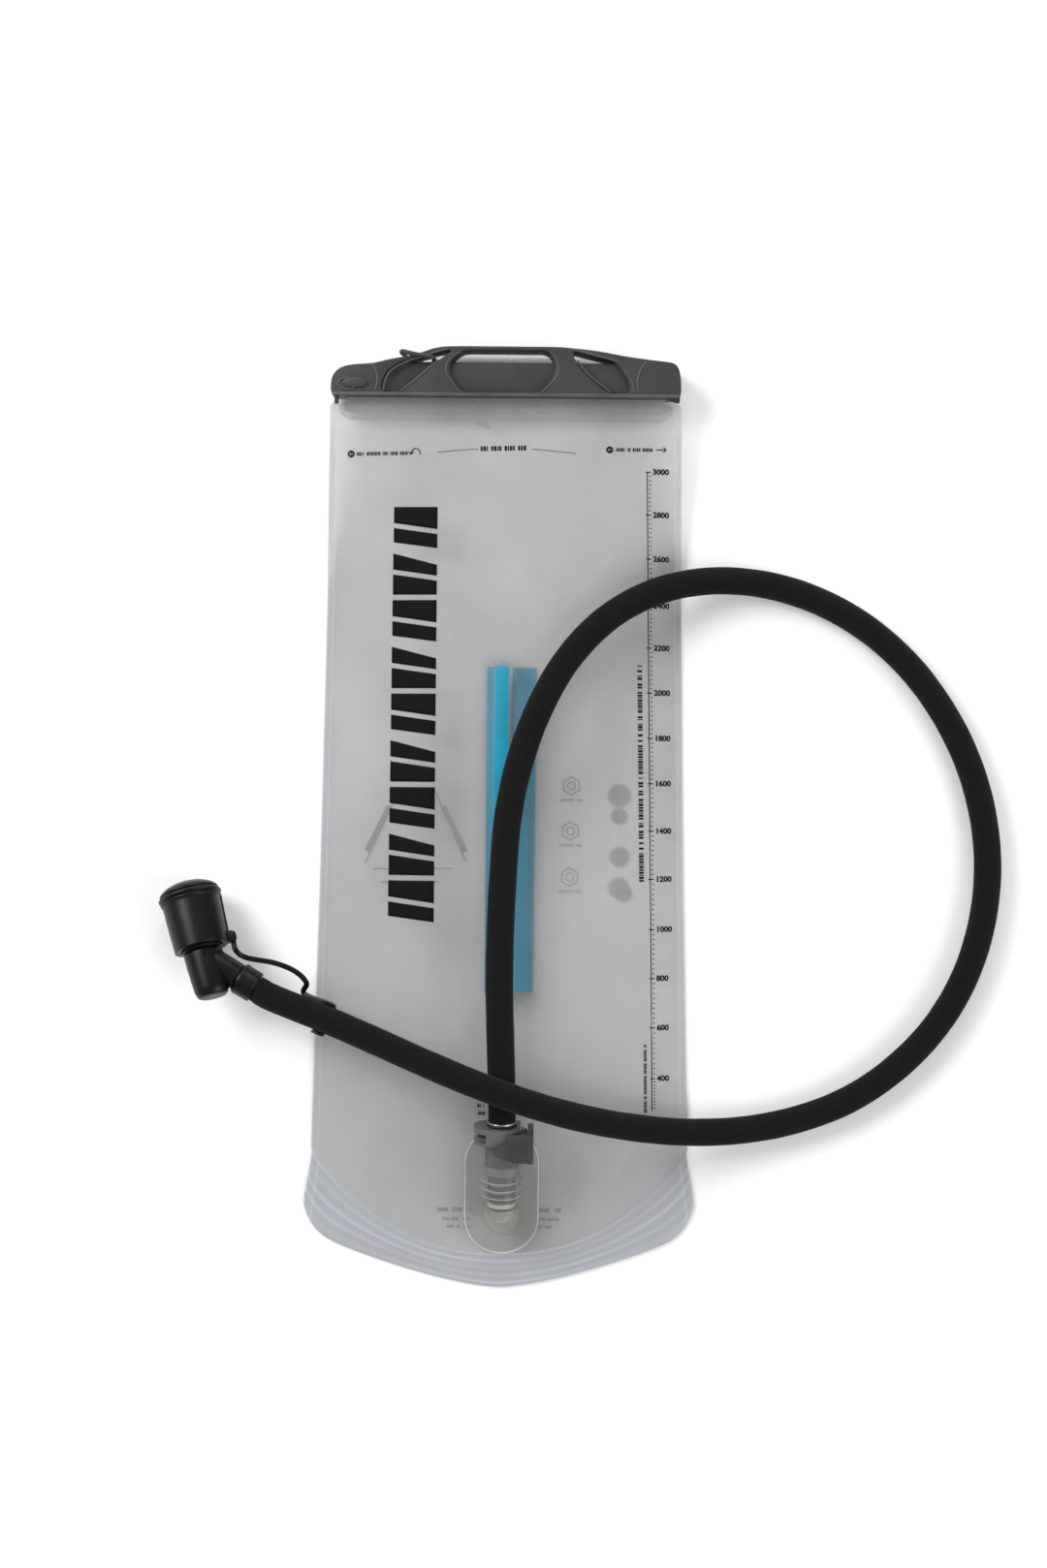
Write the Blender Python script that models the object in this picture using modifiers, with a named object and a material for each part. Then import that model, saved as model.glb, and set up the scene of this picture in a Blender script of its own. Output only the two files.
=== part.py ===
"""Hydration bladder: a film reservoir lying flat, its slide closure, drink port, hose and bite valve.

+Z is up, the bag lies on z = 0 with its mouth towards +Y and its port towards -Y. Sizes are in
millimetres; the helpers that make objects turn them into metres.
"""

import math

import bmesh
import bpy
from mathutils import Matrix, Vector

MM = 0.001
GAP = 0.3  # clearance between two solids that touch on the real object
TURN_STEPS = 24

# Bag
BAG_TOP = 228.0  # outer edge of the slider's handle bar
BAG_BOTTOM = -228.0  # tip of the bottom weld
FLANGE_HALF_WIDTH = 95.2
FILM = 0.5
PORT_SLOPE = math.radians(12.0)  # the film rises this steeply under the port
CROWN_BLEND = 60.0  # length over which the rising film levels out
WELD_CENTRE = -210.5  # inner edge of the bottom weld on the centre line
WELD_SWEEP = 50.0  # how much higher the weld leaves the sides
NECK_HALF_WIDTH = 77.0
SHOULDER_START = 100.0  # where the films start rising to the closure
LIP_FRONT = 10.2  # how far the folded lip of the front film hangs below the closure
LIP_REAR = 6.8
PUNCH_X = (-11.7, 12.3)
PUNCH_RADIUS = 2.3

# Slide closure
SLIDER_HALF = 84.4
SLIDER_HEIGHT = 16.7
CHANNEL_DEPTH = 12.3
CHANNEL_WALL = 1.8
SLOT_WALL = 1.6
FOLD_HEIGHT = 8.0  # axis of the fold above the slider's underside
SLOT_WIDTH = 3.5
END_WALL = 5.8
HANDLE_DEPTH = 18.0
SLIDER_LIFT = 3.0  # the handle's back face above the table
BAR = 1.8
RAIL = 2.2
TETHER = 2.2

# Baffle
BAFFLE_TOP = 74.0
BAFFLE_BOTTOM = -84.0
WEB = 0.8

# Port, in its own frame: x to the right, y down to the bag, z along the hose
PORT_X = 1.3
PORT_Y = -179.8
PLATE_WIDTH = 36.6
PLATE_LENGTH = 64.6
PLATE = 1.8
BULLET_RADIUS = 9.5
AXIS_HEIGHT = BULLET_RADIUS + 0.8  # port axis above the plate's underside
BULLET_TIP = -18.5
BULLET_MOUTH = 17.0
BORE_RADIUS = 7.1
NECK_RADIUS = 7.9
COLLAR_START = 28.0
COLLAR_END = 36.4
COLLAR_HEIGHT = 10.4  # top of the latch collar above the port axis
SEAT = -4.0
SEAT_THICKNESS = 2.0
SEAT_HOLE = 4.6
LATCH_TRAVEL = 1.6
POPPET_TRAVEL = 2.5
PLUG_RADIUS = 6.5
SEAL_PLACES = (8.4, 4.6)  # upper edges of the plug's two seal grooves
POPPET_BOSS = 0.9  # the poppet's middle stands this far above its seal face
INLET_RADIUS = 4.0
INLET_AT = -9.0  # where the water enters, along the port axis

# Hose
SLEEVE_RADIUS = 6.7
SLEEVE_WALL = 1.5
TUBE_RADIUS = 4.75
TUBE_WALL = 1.5
BARB_RADIUS = 2.4
HOSE_POINTS = 36
FLANGE_END = 37.5  # outer face of the plug's flange, along the port axis
SLEEVE_START = 38.9

# Bite valve, in its own frame: z along the mouthpiece, x towards the hose
VALVE_AT = (-142.6, -67.0, 23.3)
VALVE_LEAN = math.radians(15.5)
VALVE_DIP = math.radians(15.0)
ARM_DROP = math.radians(30.2)
ARM_RISE = math.radians(3.0)
ARM_ANGLE = math.radians(45.0)
ARM_END = 19.1
HOSE_COLLAR_END = 28.9
BARREL_RADIUS = 9.6
BARREL_TOP = 2.6
HEEL = -20.5
SPOOL_BORE = 5.8
RING_TOP = 12.0
MOUTH_TOP = 32.0
CAP_MOUTH = 4.0
CAP_RIM = 30.2
CAP_TOP = 37.6
CAP_WALL = 1.3
STRAP = 1.9

# The hose from the port over the bag, round on the table and back to the bite valve
ROUTE = [
    (0.8, -121.0, 31.6), (0.1, -99.0, 31.6), (-0.6, -71.3, 29.8), (0.1, -43.5, 29.2), (1.5, -15.7, 29.2),
    (4.4, 12.0, 29.2), (11.8, 38.9, 29.2), (22.8, 64.5, 28.8), (39.0, 87.4, 27.0),
    (61.1, 105.0, 22.5), (88.0, 114.9, 14.0), (116.7, 116.4, 9.0), (144.5, 110.6, 7.1),
    (170.1, 98.4, 7.0), (192.3, 81.0, 7.0), (210.4, 59.1, 7.0), (224.1, 34.4, 7.0),
    (232.8, 7.4, 7.0), (236.0, -20.7, 7.0), (233.3, -48.9, 7.0), (224.8, -75.8, 7.0),
    (210.3, -100.1, 7.0), (190.5, -120.4, 7.0), (166.8, -136.0, 7.0), (140.1, -145.6, 7.6),
    (112.0, -150.0, 11.0), (83.4, -149.6, 18.5), (55.2, -145.3, 29.5), (27.8, -138.6, 39.5),
    (1.2, -129.8, 44.5), (-24.7, -120.1, 42.0), (-50.3, -109.7, 36.5), (-76.0, -99.1, 30.5),
]

# The cap's strap between its lug and its clip
STRAP_ROUTE = [
    (-122.6, -67.6, 19.0), (-109.0, -70.0, 19.5), (-99.0, -74.0, 19.5), (-93.6, -79.6, 18.0),
    (-94.6, -85.0, 16.2),
]

# Derived places
SLOT_Y = BAG_TOP - SLIDER_HEIGHT - 5.6 - BAR  # underside of the slider, where the films leave it
SLOT_Z = SLIDER_LIFT + HANDLE_DEPTH / 2  # middle plane of the closure
FOLD_Y = SLOT_Y + FOLD_HEIGHT  # axis of the fold over the rails
SEAM_Z = FILM + GAP / 2  # middle of the gap between the films where they lie flat
RAIL_HALF = GAP / 2 + RAIL
REAR_FOLD = RAIL_HALF + GAP + FILM / 2
FRONT_FOLD = REAR_FOLD + FILM + GAP
PINCH = SLOT_WALL + 0.1  # where the outer film starts to spread round the rails
PORT_Z = 1.9 + PLATE_LENGTH / 2 * math.sin(PORT_SLOPE)
CROWN_RUN = PLATE_LENGTH


# Helpers -------------------------------------------------------------------------------------

def clear_scene():
    for obj in list(bpy.data.objects):
        bpy.data.objects.remove(obj)


def collection(name):
    group = bpy.data.collections.new(name)
    bpy.context.scene.collection.children.link(group)
    return group


def material(name, colour, roughness, metallic=0.0):
    made = bpy.data.materials.new(name)
    made.use_nodes = True
    shader = made.node_tree.nodes["Principled BSDF"]
    shader.inputs["Base Color"].default_value = (*colour, 1.0)
    shader.inputs["Roughness"].default_value = roughness
    shader.inputs["Metallic"].default_value = metallic
    made.diffuse_color = (*colour, 1.0)
    return made


def add(name, data, group, finish=None, parent=None):
    obj = bpy.data.objects.new(name, data)
    group.objects.link(obj)
    obj.parent = parent
    if finish:
        data.materials.append(finish)
    return obj


def frame_at(name, group, location, columns):
    """An empty whose x, y and z axes are the three columns."""
    empty = add(name, None, group)
    turn = Matrix(columns).transposed().to_4x4()
    empty.matrix_world = Matrix.Translation(Vector(location) * MM) @ turn
    return empty


def shade(obj, angle=40.0):
    obj.data.shade_smooth()
    obj.data.set_sharp_from_angle(angle=math.radians(angle))


def spin(obj, steps):
    screw = obj.modifiers.new("Turn", "SCREW")
    screw.steps = screw.render_steps = steps
    screw.use_merge_vertices = True
    screw.merge_threshold = 0.00001
    return screw


def turned(name, profile, group, finish=None, parent=None, steps=TURN_STEPS, closed=False):
    """A profile of (radius, height) points, run down its outer side, turned round the local z axis."""
    mesh = bpy.data.meshes.new(name)
    count = len(profile)
    edges = [(i, i + 1) for i in range(count - 1)]
    if closed:
        edges.append((count - 1, 0))
    mesh.from_pydata([(r * MM, 0.0, h * MM) for r, h in profile], edges, [])
    obj = add(name, mesh, group, finish, parent)
    spin(obj, steps)
    return obj


def rod(radius, low, high):
    """The outline of a solid cylinder along the local z axis."""
    return [(0, high), (radius, high), (radius, low), (0, low)]


def ring(name, inner, outer, low, high, group, finish=None, parent=None, steps=TURN_STEPS):
    profile = [(inner, high), (outer, high), (outer, low), (inner, low)]
    return turned(name, profile, group, finish, parent, steps, closed=True)


def torus(name, middle, radius, height, group, finish, parent, steps=TURN_STEPS, sides=8):
    profile = []
    for i in range(sides):
        angle = -math.tau * i / sides
        profile.append((middle + radius * math.cos(angle), height + radius * math.sin(angle)))
    return turned(name, profile, group, finish, parent, steps, closed=True)


def as_mesh(obj, group, finish=None):
    """The object's evaluated shape as a welded mesh object, which takes its place and its parent."""
    bpy.context.view_layer.update()
    graph = bpy.context.evaluated_depsgraph_get()
    mesh = bpy.data.meshes.new_from_object(obj.evaluated_get(graph))
    form = bmesh.new()
    form.from_mesh(mesh)
    bmesh.ops.remove_doubles(form, verts=form.verts, dist=1e-7)
    bmesh.ops.recalc_face_normals(form, faces=form.faces)
    form.to_mesh(mesh)
    form.free()
    name, world, parent, old = obj.name, obj.matrix_world.copy(), obj.parent, obj.data
    bpy.data.objects.remove(obj)
    bpy.data.curves.remove(old)
    mesh.name = name
    mesh.materials.clear()
    made = add(name, mesh, group, finish, parent)
    made.matrix_world = world
    return made


def plate(name, loops, low, high, group, finish=None, parent=None, turn=None):
    """Flat outlines, the first one outside and the rest holes, standing from low to high along z."""
    curve = bpy.data.curves.new(name, "CURVE")
    curve.dimensions = "2D"
    curve.fill_mode = "BOTH"
    curve.extrude = (high - low) / 2 * MM
    for loop in loops:
        spline = curve.splines.new("POLY")
        spline.points.add(len(loop) - 1)
        spline.use_cyclic_u = True
        for point, (x, y) in zip(spline.points, loop):
            point.co = (x * MM, y * MM, 0.0, 1.0)
    obj = add(name, curve, group, None, parent)
    lift = Matrix.Translation((0.0, 0.0, (low + high) / 2 * MM))
    obj.matrix_local = (turn or Matrix()) @ lift
    return as_mesh(obj, group, finish)


def box(name, low, high, group, finish=None, parent=None):
    mesh = bpy.data.meshes.new(name)
    form = bmesh.new()
    bmesh.ops.create_cube(form, size=1.0)
    for vert in form.verts:
        vert.co = [(a + b) / 2 * MM + c * (b - a) * MM for a, b, c in zip(low, high, vert.co)]
    form.to_mesh(mesh)
    form.free()
    return add(name, mesh, group, finish, parent)


def cord(name, points, radius, group, finish=None, parent=None, resolution=2, cyclic=False, caps=True):
    """A round cord or wire through the points, as a curve object."""
    curve = bpy.data.curves.new(name, "CURVE")
    curve.dimensions = "3D"
    curve.bevel_depth = radius * MM
    curve.bevel_resolution = resolution
    curve.use_fill_caps = caps and not cyclic
    spline = curve.splines.new("POLY")
    spline.points.add(len(points) - 1)
    spline.use_cyclic_u = cyclic
    for point, place in zip(spline.points, points):
        point.co = (*(Vector(place) * MM), 1.0)
    return add(name, curve, group, finish, parent)


def boolean(obj, other, operation):
    modifier = obj.modifiers.new(f"{operation.title()} {other.name}", "BOOLEAN")
    modifier.operation = operation
    modifier.object = other
    other.hide_render = True
    other.display_type = "WIRE"


def cut(obj, *cutters):
    for cutter in cutters:
        boolean(obj, cutter, "DIFFERENCE")


def join(obj, *others):
    for other in others:
        boolean(obj, other, "UNION")


def shifted(loop, x, y):
    return [(a + x, b + y) for a, b in loop]


def arc(centre, radius, start, end, count, stretch=1.0):
    """Points along an arc, angles in degrees; stretch lengthens it along y."""
    points = []
    for i in range(count):
        angle = math.radians(start + (end - start) * i / (count - 1))
        points.append((centre[0] + radius * math.cos(angle), centre[1] + stretch * radius * math.sin(angle)))
    return points


def smoothstep(value, low, high):
    share = min(1.0, max(0.0, (value - low) / (high - low)))
    return share * share * (3 - 2 * share)


def spline_through(points, count):
    """A Catmull-Rom curve through the points, read at evenly spaced places."""
    ends = [points[0] * 2 - points[1], *points, points[-1] * 2 - points[-2]]
    fine = []
    for a, b, c, d in zip(ends, ends[1:], ends[2:], ends[3:]):
        for step in range(24):
            t = step / 24
            fine.append(0.5 * (2 * b + (c - a) * t + (2 * a - 5 * b + 4 * c - d) * t**2
                               + (3 * b - a - 3 * c + d) * t**3))
    fine.append(points[-1])
    lengths = [0.0]
    for a, b in zip(fine, fine[1:]):
        lengths.append(lengths[-1] + (b - a).length)
    even = []
    at = 0
    for i in range(count):
        wanted = lengths[-1] * i / (count - 1)
        while at < len(fine) - 2 and lengths[at + 1] < wanted:
            at += 1
        share = (wanted - lengths[at]) / (lengths[at + 1] - lengths[at])
        even.append(fine[at].lerp(fine[at + 1], min(1.0, share)))
    return even


# Films ---------------------------------------------------------------------------------------

def half_width(y):
    """Half the bag's width at y, above the bottom corners."""
    below_neck = SLOT_Y - 1.7
    knots = [(WELD_CENTRE + WELD_SWEEP, 0.965), (-35.0, 0.933), (80.0, 0.911), (below_neck - 6.0, 0.893)]
    if y > below_neck - 6.0:
        share = smoothstep(y, below_neck - 6.0, below_neck)
        return FLANGE_HALF_WIDTH * 0.893 * (1 - share) + NECK_HALF_WIDTH * share
    y = max(y, knots[0][0])
    for (y0, a), (y1, b) in zip(knots, knots[1:]):
        if y <= y1:
            return FLANGE_HALF_WIDTH * (a + (b - a) * (y - y0) / (y1 - y0))
    return FLANGE_HALF_WIDTH * knots[-1][1]


def bottom_edge(u):
    """The bag's lower outline at u, which runs from -1 on the left to 1 on the right."""
    return BAG_BOTTOM + 27.1 * abs(u) ** 1.5 + 12.7 * abs(u) ** 22


def weld_line(u):
    return WELD_CENTRE + WELD_SWEEP * abs(u) ** 2.4


def seam_height(y):
    """Height of the plane between the films at their side edges."""
    return SEAM_Z + (SLOT_Z + 0.8 - SEAM_Z) * smoothstep(y, SHOULDER_START, SLOT_Y - 2)


def crown(y, u):
    """How far the front film stands above the side seam."""
    along = max(0.0, y - weld_line(u))
    slope = math.tan(PORT_SLOPE)
    rise = slope * min(along, CROWN_RUN)
    past = min(max(0.0, along - CROWN_RUN), CROWN_BLEND)
    rise += slope * (past - past * past / (2 * CROWN_BLEND))
    across = (1 - min(1.0, abs(u) / 0.965) ** 2.6) ** 0.9
    return rise * across * (1 - smoothstep(y, SHOULDER_START, SLOT_Y - 2))


def belly(y, u):
    """How far the rear film hangs below the side seam where the seam has left the table."""
    across = (1 - min(1.0, abs(u) / 0.965) ** 2.6) ** 0.9
    return (seam_height(y) - SEAM_Z) * across * (1 - smoothstep(y, 130.0, SLOT_Y - 4))


def body_rows():
    """Rows of (share down, y) from the closure to the bottom: y while straight, then shares."""
    straight = [SLOT_Y - 4, SLOT_Y - 8, SLOT_Y - 14, SLOT_Y - 24, SLOT_Y - 38, SLOT_Y - 54, SLOT_Y - 72]
    straight += [SHOULDER_START, 80.0, 40.0, 0.0, -35.0, -65.0, -88.0, -110.0, -130.0, -146.0]
    return straight, [0.25, 0.5, 0.75, 1.0], [0.5, 1.0]


def film_grid(closure, height):
    """Rows of points from the folded lip through the closure and the body to the bottom edge."""
    columns = [-1, -0.965, -0.88, -0.76, -0.6, -0.42, -0.2, 0, 0.2, 0.42, 0.6, 0.76, 0.88, 0.965, 1]
    rows = [[(u * w, y, SLOT_Z + z) for u in columns] for y, z, w in closure]
    straight, to_weld, to_edge = body_rows()
    for y in straight:
        rows.append([(u * half_width(y), y, height(y, u)) for u in columns])
    last = straight[-1]
    for share in to_weld:
        row = []
        for u in columns:
            y = last + (weld_line(u) - last) * share
            row.append((u * half_width(y), y, height(y, u)))
        rows.append(row)
    for share in to_edge:
        row = []
        for u in columns:
            y = weld_line(u) + (bottom_edge(u) - weld_line(u)) * share
            wide = half_width(last) + (FLANGE_HALF_WIDTH - half_width(last)) * smoothstep(share, 0, 1)
            row.append((u * wide, y, height(y, u)))
        rows.append(row)
    return rows


def film(name, rows, group, finish):
    count = len(rows[0])
    mesh = bpy.data.meshes.new(name)
    points = [Vector(p) * MM for row in rows for p in row]
    faces = []
    for r in range(len(rows) - 1):
        for c in range(count - 1):
            a = r * count + c
            faces.append((a, a + count, a + count + 1, a + 1))
    mesh.from_pydata(points, [], faces)
    obj = add(name, mesh, group, finish)
    shade(obj, 60.0)
    solid = obj.modifiers.new("Film", "SOLIDIFY")
    solid.thickness = FILM * MM
    solid.offset = 0.0
    solid.use_even_offset = True
    return obj


def fold(radius, count=5):
    """The film over the rails, from the back to the front, as (y, z)."""
    return [(FOLD_Y + radius * math.sin(a), -radius * math.cos(a))
            for a in [math.pi * i / (count - 1) for i in range(count)]]


def closure_rows(radius, slot, pinch, lip):
    """Rows of (y, z, half width) from the lip, up the back of the rails, over them and down again."""
    wide = NECK_HALF_WIDTH
    rows = [(SLOT_Y - lip, -slot - 0.5 * lip, wide - 5.0)]
    rows.append((SLOT_Y - lip + 2.5, -slot - 0.5 * (lip - 2.5), wide - 2.0))
    rows.append((SLOT_Y - 1.5, -slot - 0.75, wide - 2.0))
    rows.append((SLOT_Y, -slot, wide))
    rows.append((SLOT_Y + pinch, -slot, wide))
    rows += [(y, z, wide) for y, z in [(SLOT_Y + pinch + 2.6, -radius)] + fold(radius)]
    rows.append((SLOT_Y + pinch + 2.6, radius, wide))
    rows.append((SLOT_Y + pinch, slot, wide))
    rows.append((SLOT_Y - 1.0, slot, wide))
    return rows


def make_films(group, cutters, film_finish):
    layer = GAP / 2 + FILM / 2
    front_slot = layer + FILM + GAP
    top = (FILM + GAP) / 2

    def front_height(y, u):
        neck = (front_slot - 0.8 - top) * smoothstep(y, SLOT_Y - 12, SLOT_Y - 3)
        return seam_height(y) + top + neck + crown(y, u)

    def rear_height(y, u):
        neck = (layer - 0.8 + top) * smoothstep(y, SLOT_Y - 12, SLOT_Y - 3)
        return seam_height(y) - top + neck - belly(y, u)

    outside = closure_rows(FRONT_FOLD, front_slot, PINCH, LIP_FRONT)
    inside = closure_rows(REAR_FOLD, layer, PINCH + 1.2, LIP_REAR)
    front = film("front_panel", film_grid(outside, front_height), group, film_finish)
    rear = film("rear_panel", film_grid(inside, rear_height), group, film_finish)
    for i, x in enumerate(PUNCH_X):
        hole = round_cutter(f"punch_{i}", PUNCH_RADIUS, cutters)
        hole.location = (x * MM, (SLOT_Y - 5.2) * MM, (SLOT_Z - 5.6) * MM)
        cut(front, hole)
        cut(rear, hole)
    return front, rear


def round_cutter(name, radius, cutters, half_height=3.6, parent=None, steps=16):
    """A solid cylinder along the local z axis."""
    return turned(name, rod(radius, -half_height, half_height), cutters, parent=parent, steps=steps)


def rail_outline(side):
    """Section of one rail, as (y, z) across the closure; side is 1 in front and -1 behind."""
    inner = GAP / 2
    top, start = FOLD_Y, SLOT_Y + PINCH + 3.2
    points = [(start, inner), (start, inner + 1.1), (start + 0.8, RAIL_HALF), (top, RAIL_HALF),
              (top + 0.55 * RAIL_HALF, 0.8 * RAIL_HALF), (top + 0.85 * RAIL_HALF, 0.35 * RAIL_HALF),
              (top + 0.88 * RAIL_HALF, inner)]
    return [(y, side * z) for y, z in points][::side]


# A section in y and z, run along x
ALONG_X = Matrix(((0, 0, 1, 0), (1, 0, 0, 0), (0, 1, 0, 0), (0, 0, 0, 1)))


def make_rails(group, finish):
    """Two strips welded to the rear film, face to face once the mouth is folded."""
    reach = NECK_HALF_WIDTH - 0.6
    for name, side in (("mouth_rail_front", 1), ("mouth_rail_back", -1)):
        section = [(y, SLOT_Z + z) for y, z in rail_outline(side)]
        plate(name, [section], -reach, reach, group, finish, turn=ALONG_X)


def make_baffle(group, finish):
    """Two webs, one under each film, whose free edges hook together; drawn apart here."""
    along_y = Matrix(((1, 0, 0, 0), (0, 0, -1, 0), (0, 1, 0, 0), (0, 0, 0, 1)))
    roof = SEAM_Z + crown(BAFFLE_BOTTOM, 0.1) - FILM
    floor = FILM + GAP
    front = [(-4.4, roof), (3.0, roof), (3.0, roof - WEB), (-0.2, roof - WEB), (-6.2, roof - 8.6),
             (-5.6, roof - 10.0), (-7.4, roof - 10.6), (-8.0, roof - 8.4), (-1.5, roof - WEB),
             (-4.4, roof - WEB)]
    rear = [(8.6, floor), (15.9, floor), (15.9, floor + WEB), (12.6, floor + WEB), (6.2, floor + 7.2),
            (7.0, floor + 8.4), (5.0, floor + 9.2), (4.2, floor + 7.0), (11.3, floor + WEB),
            (8.6, floor + WEB)]
    plate("baffle_front_web", [front], -BAFFLE_TOP, -BAFFLE_BOTTOM, group, finish, turn=along_y)
    plate("baffle_rear_web", [rear], -BAFFLE_TOP, -BAFFLE_BOTTOM, group, finish, turn=along_y)


# Slide closure -------------------------------------------------------------------------------

def handle_outline():
    """The handle's front outline, left side up and over, with heights above the slider's underside."""
    left = [(-1.0, 0.0), (-1.0, 7.0), (-0.985, 10.4), (-0.955, 12.9), (-0.92, 14.2), (-0.86, 15.0),
            (-0.752, 15.6), (-0.675, 17.4), (-0.513, 19.9), (-0.429, 22.7)]
    right = [(0.429, 23.2), (0.54, 22.05), (0.695, 19.6), (0.85, 18.0), (0.96, 17.0), (0.99, 14.0),
             (1.0, 7.0), (1.0, 0.0)]
    top = [(-0.358, BAG_TOP - SLOT_Y - 0.2), (-0.245, BAG_TOP - SLOT_Y), (0.3, BAG_TOP - SLOT_Y)]
    return [(x * SLIDER_HALF, SLOT_Y + h) for x, h in left + top + right]


def handle_holes():
    """Three windows between the bar, the lobes, the two flared ribs and the lower ledge."""
    roof = BAG_TOP - SLOT_Y - BAR
    left = [(-0.3, roof - 0.2), (-0.37, roof - 4.0), (-0.43, roof - 8.0), (-0.5, roof - 12.0), (-0.58, 1.9),
            (-0.715, 1.9), (-0.71, 7.3), (-0.68, 12.0), (-0.6, 16.6), (-0.5, 18.2), (-0.42, roof - 1.9),
            (-0.36, roof - 0.5)]
    middle = [(-0.242, roof), (-0.31, roof - 4.4), (-0.33, roof - 10.0), (-0.3, roof - 14.5), (-0.25, 1.9),
              (0.19, 1.9), (0.25, roof - 15.0), (0.285, roof - 10.0), (0.275, roof - 4.4), (0.235, roof)]
    right = [(0.374, roof - 0.1), (0.42, roof - 1.0), (0.5, roof - 2.6), (0.62, roof - 5.0), (0.665, 12.0),
             (0.7, 7.3), (0.71, 1.9), (0.58, 1.9), (0.47, roof - 12.5), (0.42, roof - 8.0), (0.39, roof - 4.0)]
    return [[(x * SLIDER_HALF, SLOT_Y + h) for x, h in hole] for hole in (left, middle, right)]


def make_slider(group, cutters, parent, finish):
    low = SLIDER_LIFT
    slider = plate("slider", [handle_outline(), *handle_holes()], low, low + HANDLE_DEPTH, group, finish)
    half = CHANNEL_DEPTH / 2
    reach = 0.74 * SLIDER_HALF
    channel = box("slider_channel", (-reach, SLOT_Y + 0.3, SLOT_Z - half),
                  (reach, SLOT_Y + SLIDER_HEIGHT, SLOT_Z + half), cutters)
    inside = half - CHANNEL_WALL
    floor, roof = SLOT_Y + SLOT_WALL, FOLD_Y + inside + GAP
    slot = SLOT_WIDTH / 2
    section = [(SLOT_Y - 5, -slot), (SLOT_Y - 5, slot), (floor, slot), (floor, inside), (roof, inside),
               (roof, -inside), (floor, -inside), (floor, -slot)]
    cavity = plate("slider_cavity", [[(y, SLOT_Z + z) for y, z in section][::-1]],
                   -SLIDER_HALF + END_WALL, SLIDER_HALF + 5, cutters, turn=ALONG_X)
    pin_hole = round_cutter("slider_pin_hole", 1.0, cutters, half_height=HANDLE_DEPTH)
    pin_hole.location = (-0.952 * SLIDER_HALF * MM, (SLOT_Y + 7.2) * MM, SLOT_Z * MM)
    tab = box("slider_tab", (-0.98 * SLIDER_HALF, SLOT_Y - 4, low + HANDLE_DEPTH - 4),
              (-0.955 * SLIDER_HALF, SLOT_Y + 1, low + HANDLE_DEPTH - 1.6), cutters)
    guide = box("slider_guide", (SLIDER_HALF - 8, SLOT_Y - 2.4, low + HANDLE_DEPTH - 3.4),
                (SLIDER_HALF - 0.6, SLOT_Y + 1, low + HANDLE_DEPTH - 1.0), cutters)
    face = low + HANDLE_DEPTH
    pocket = plate("catch_pocket", [hexagon(GAP)], face - 3.2, face + 2, cutters)
    join(slider, channel, tab, guide)
    cut(slider, cavity, pin_hole, pocket)
    catch = plate("catch_pad", [hexagon(0.0)], face - 3.2 + GAP, face + 0.9, group, finish)
    for obj in (slider, catch):
        keep_place(obj, parent)
    return slider


def hexagon(grow):
    """The long six-sided pad on the left lobe."""
    x, y = -0.862 * SLIDER_HALF, SLOT_Y + 6.2
    a, b, c = 6.6 + grow, 4.0 + grow, 2.5 + grow
    return [(x - a, y), (x - b, y - c), (x + b, y - c), (x + a, y), (x + b, y + c), (x - b, y + c)]


def keep_place(obj, parent):
    """Parents an object without moving it."""
    bpy.context.view_layer.update()
    world = obj.matrix_world.copy()
    obj.parent = parent
    obj.matrix_world = world


def make_tether(group, finish):
    """An elastic ring round the handle bar and through the punched lip, behind the slider."""
    back = SLIDER_LIFT - GAP - TETHER / 2
    face = SLIDER_LIFT + HANDLE_DEPTH + GAP + TETHER / 2
    gap_x, gap_y = -0.416 * SLIDER_HALF, SLOT_Y + SLIDER_HEIGHT + GAP + TETHER / 2 + 0.2
    over_x, over_y = -0.59 * SLIDER_HALF, SLOT_Y + 19.1 + GAP + TETHER / 2 + 0.6
    x, lip = PUNCH_X[0], SLOT_Y - 5.2
    route = [
        (gap_x, gap_y, face - 2.6), (gap_x - 1.5, gap_y + 0.3, face), (gap_x - 9, gap_y + 1.4, face + 0.6),
        (over_x, over_y, face - 0.6), (over_x - 0.6, over_y + 0.4, SLOT_Z),
        (over_x + 1.5, over_y - 0.6, back - 0.1), (over_x + 12, SLOT_Y + 6, back - 0.2),
        (x - 13, SLOT_Y - 2, back - 0.2), (x - 3.5, lip - 0.2, back + 0.6),
        (x, lip, SLOT_Z - 6.2), (x + 0.6, lip - 1.6, SLOT_Z - 2.0), (x + 1.8, SLOT_Y - 10.4, SLOT_Z - 2.4),
        (x + 2.6, SLOT_Y - 13.2, SLOT_Z - 6.0), (x + 1.4, SLOT_Y - 12.4, back + 0.2),
        (x - 3.2, SLOT_Y - 9.2, back - 0.2), (gap_x + 14, SLOT_Y + 3, back - 0.2),
        (gap_x + 4, SLOT_Y + 11, back - 0.2), (gap_x + 0.6, gap_y - 1.4, back),
        (gap_x, gap_y, back + 3.0),
    ]
    tether = cord("slider_tether", route, TETHER / 2, group, finish, resolution=2, cyclic=True)
    return tether


# Port ----------------------------------------------------------------------------------------

def port_axis(group):
    """The port's frame, on the axis of the plug: x right, y down to the bag, z along the hose."""
    tilt = PORT_SLOPE
    up = Vector((0, -math.sin(tilt), math.cos(tilt)))
    out = Vector((0, math.cos(tilt), math.sin(tilt)))
    at = Vector((PORT_X, PORT_Y, PORT_Z)) + up * AXIS_HEIGHT
    return frame_at("port_axis", group, at, (Vector((1, 0, 0)), -up, out))


# An outline in x and -z, run along y
FLAT = Matrix(((1, 0, 0, 0), (0, 0, 1, 0), (0, -1, 0, 0), (0, 0, 0, 1)))


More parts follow.
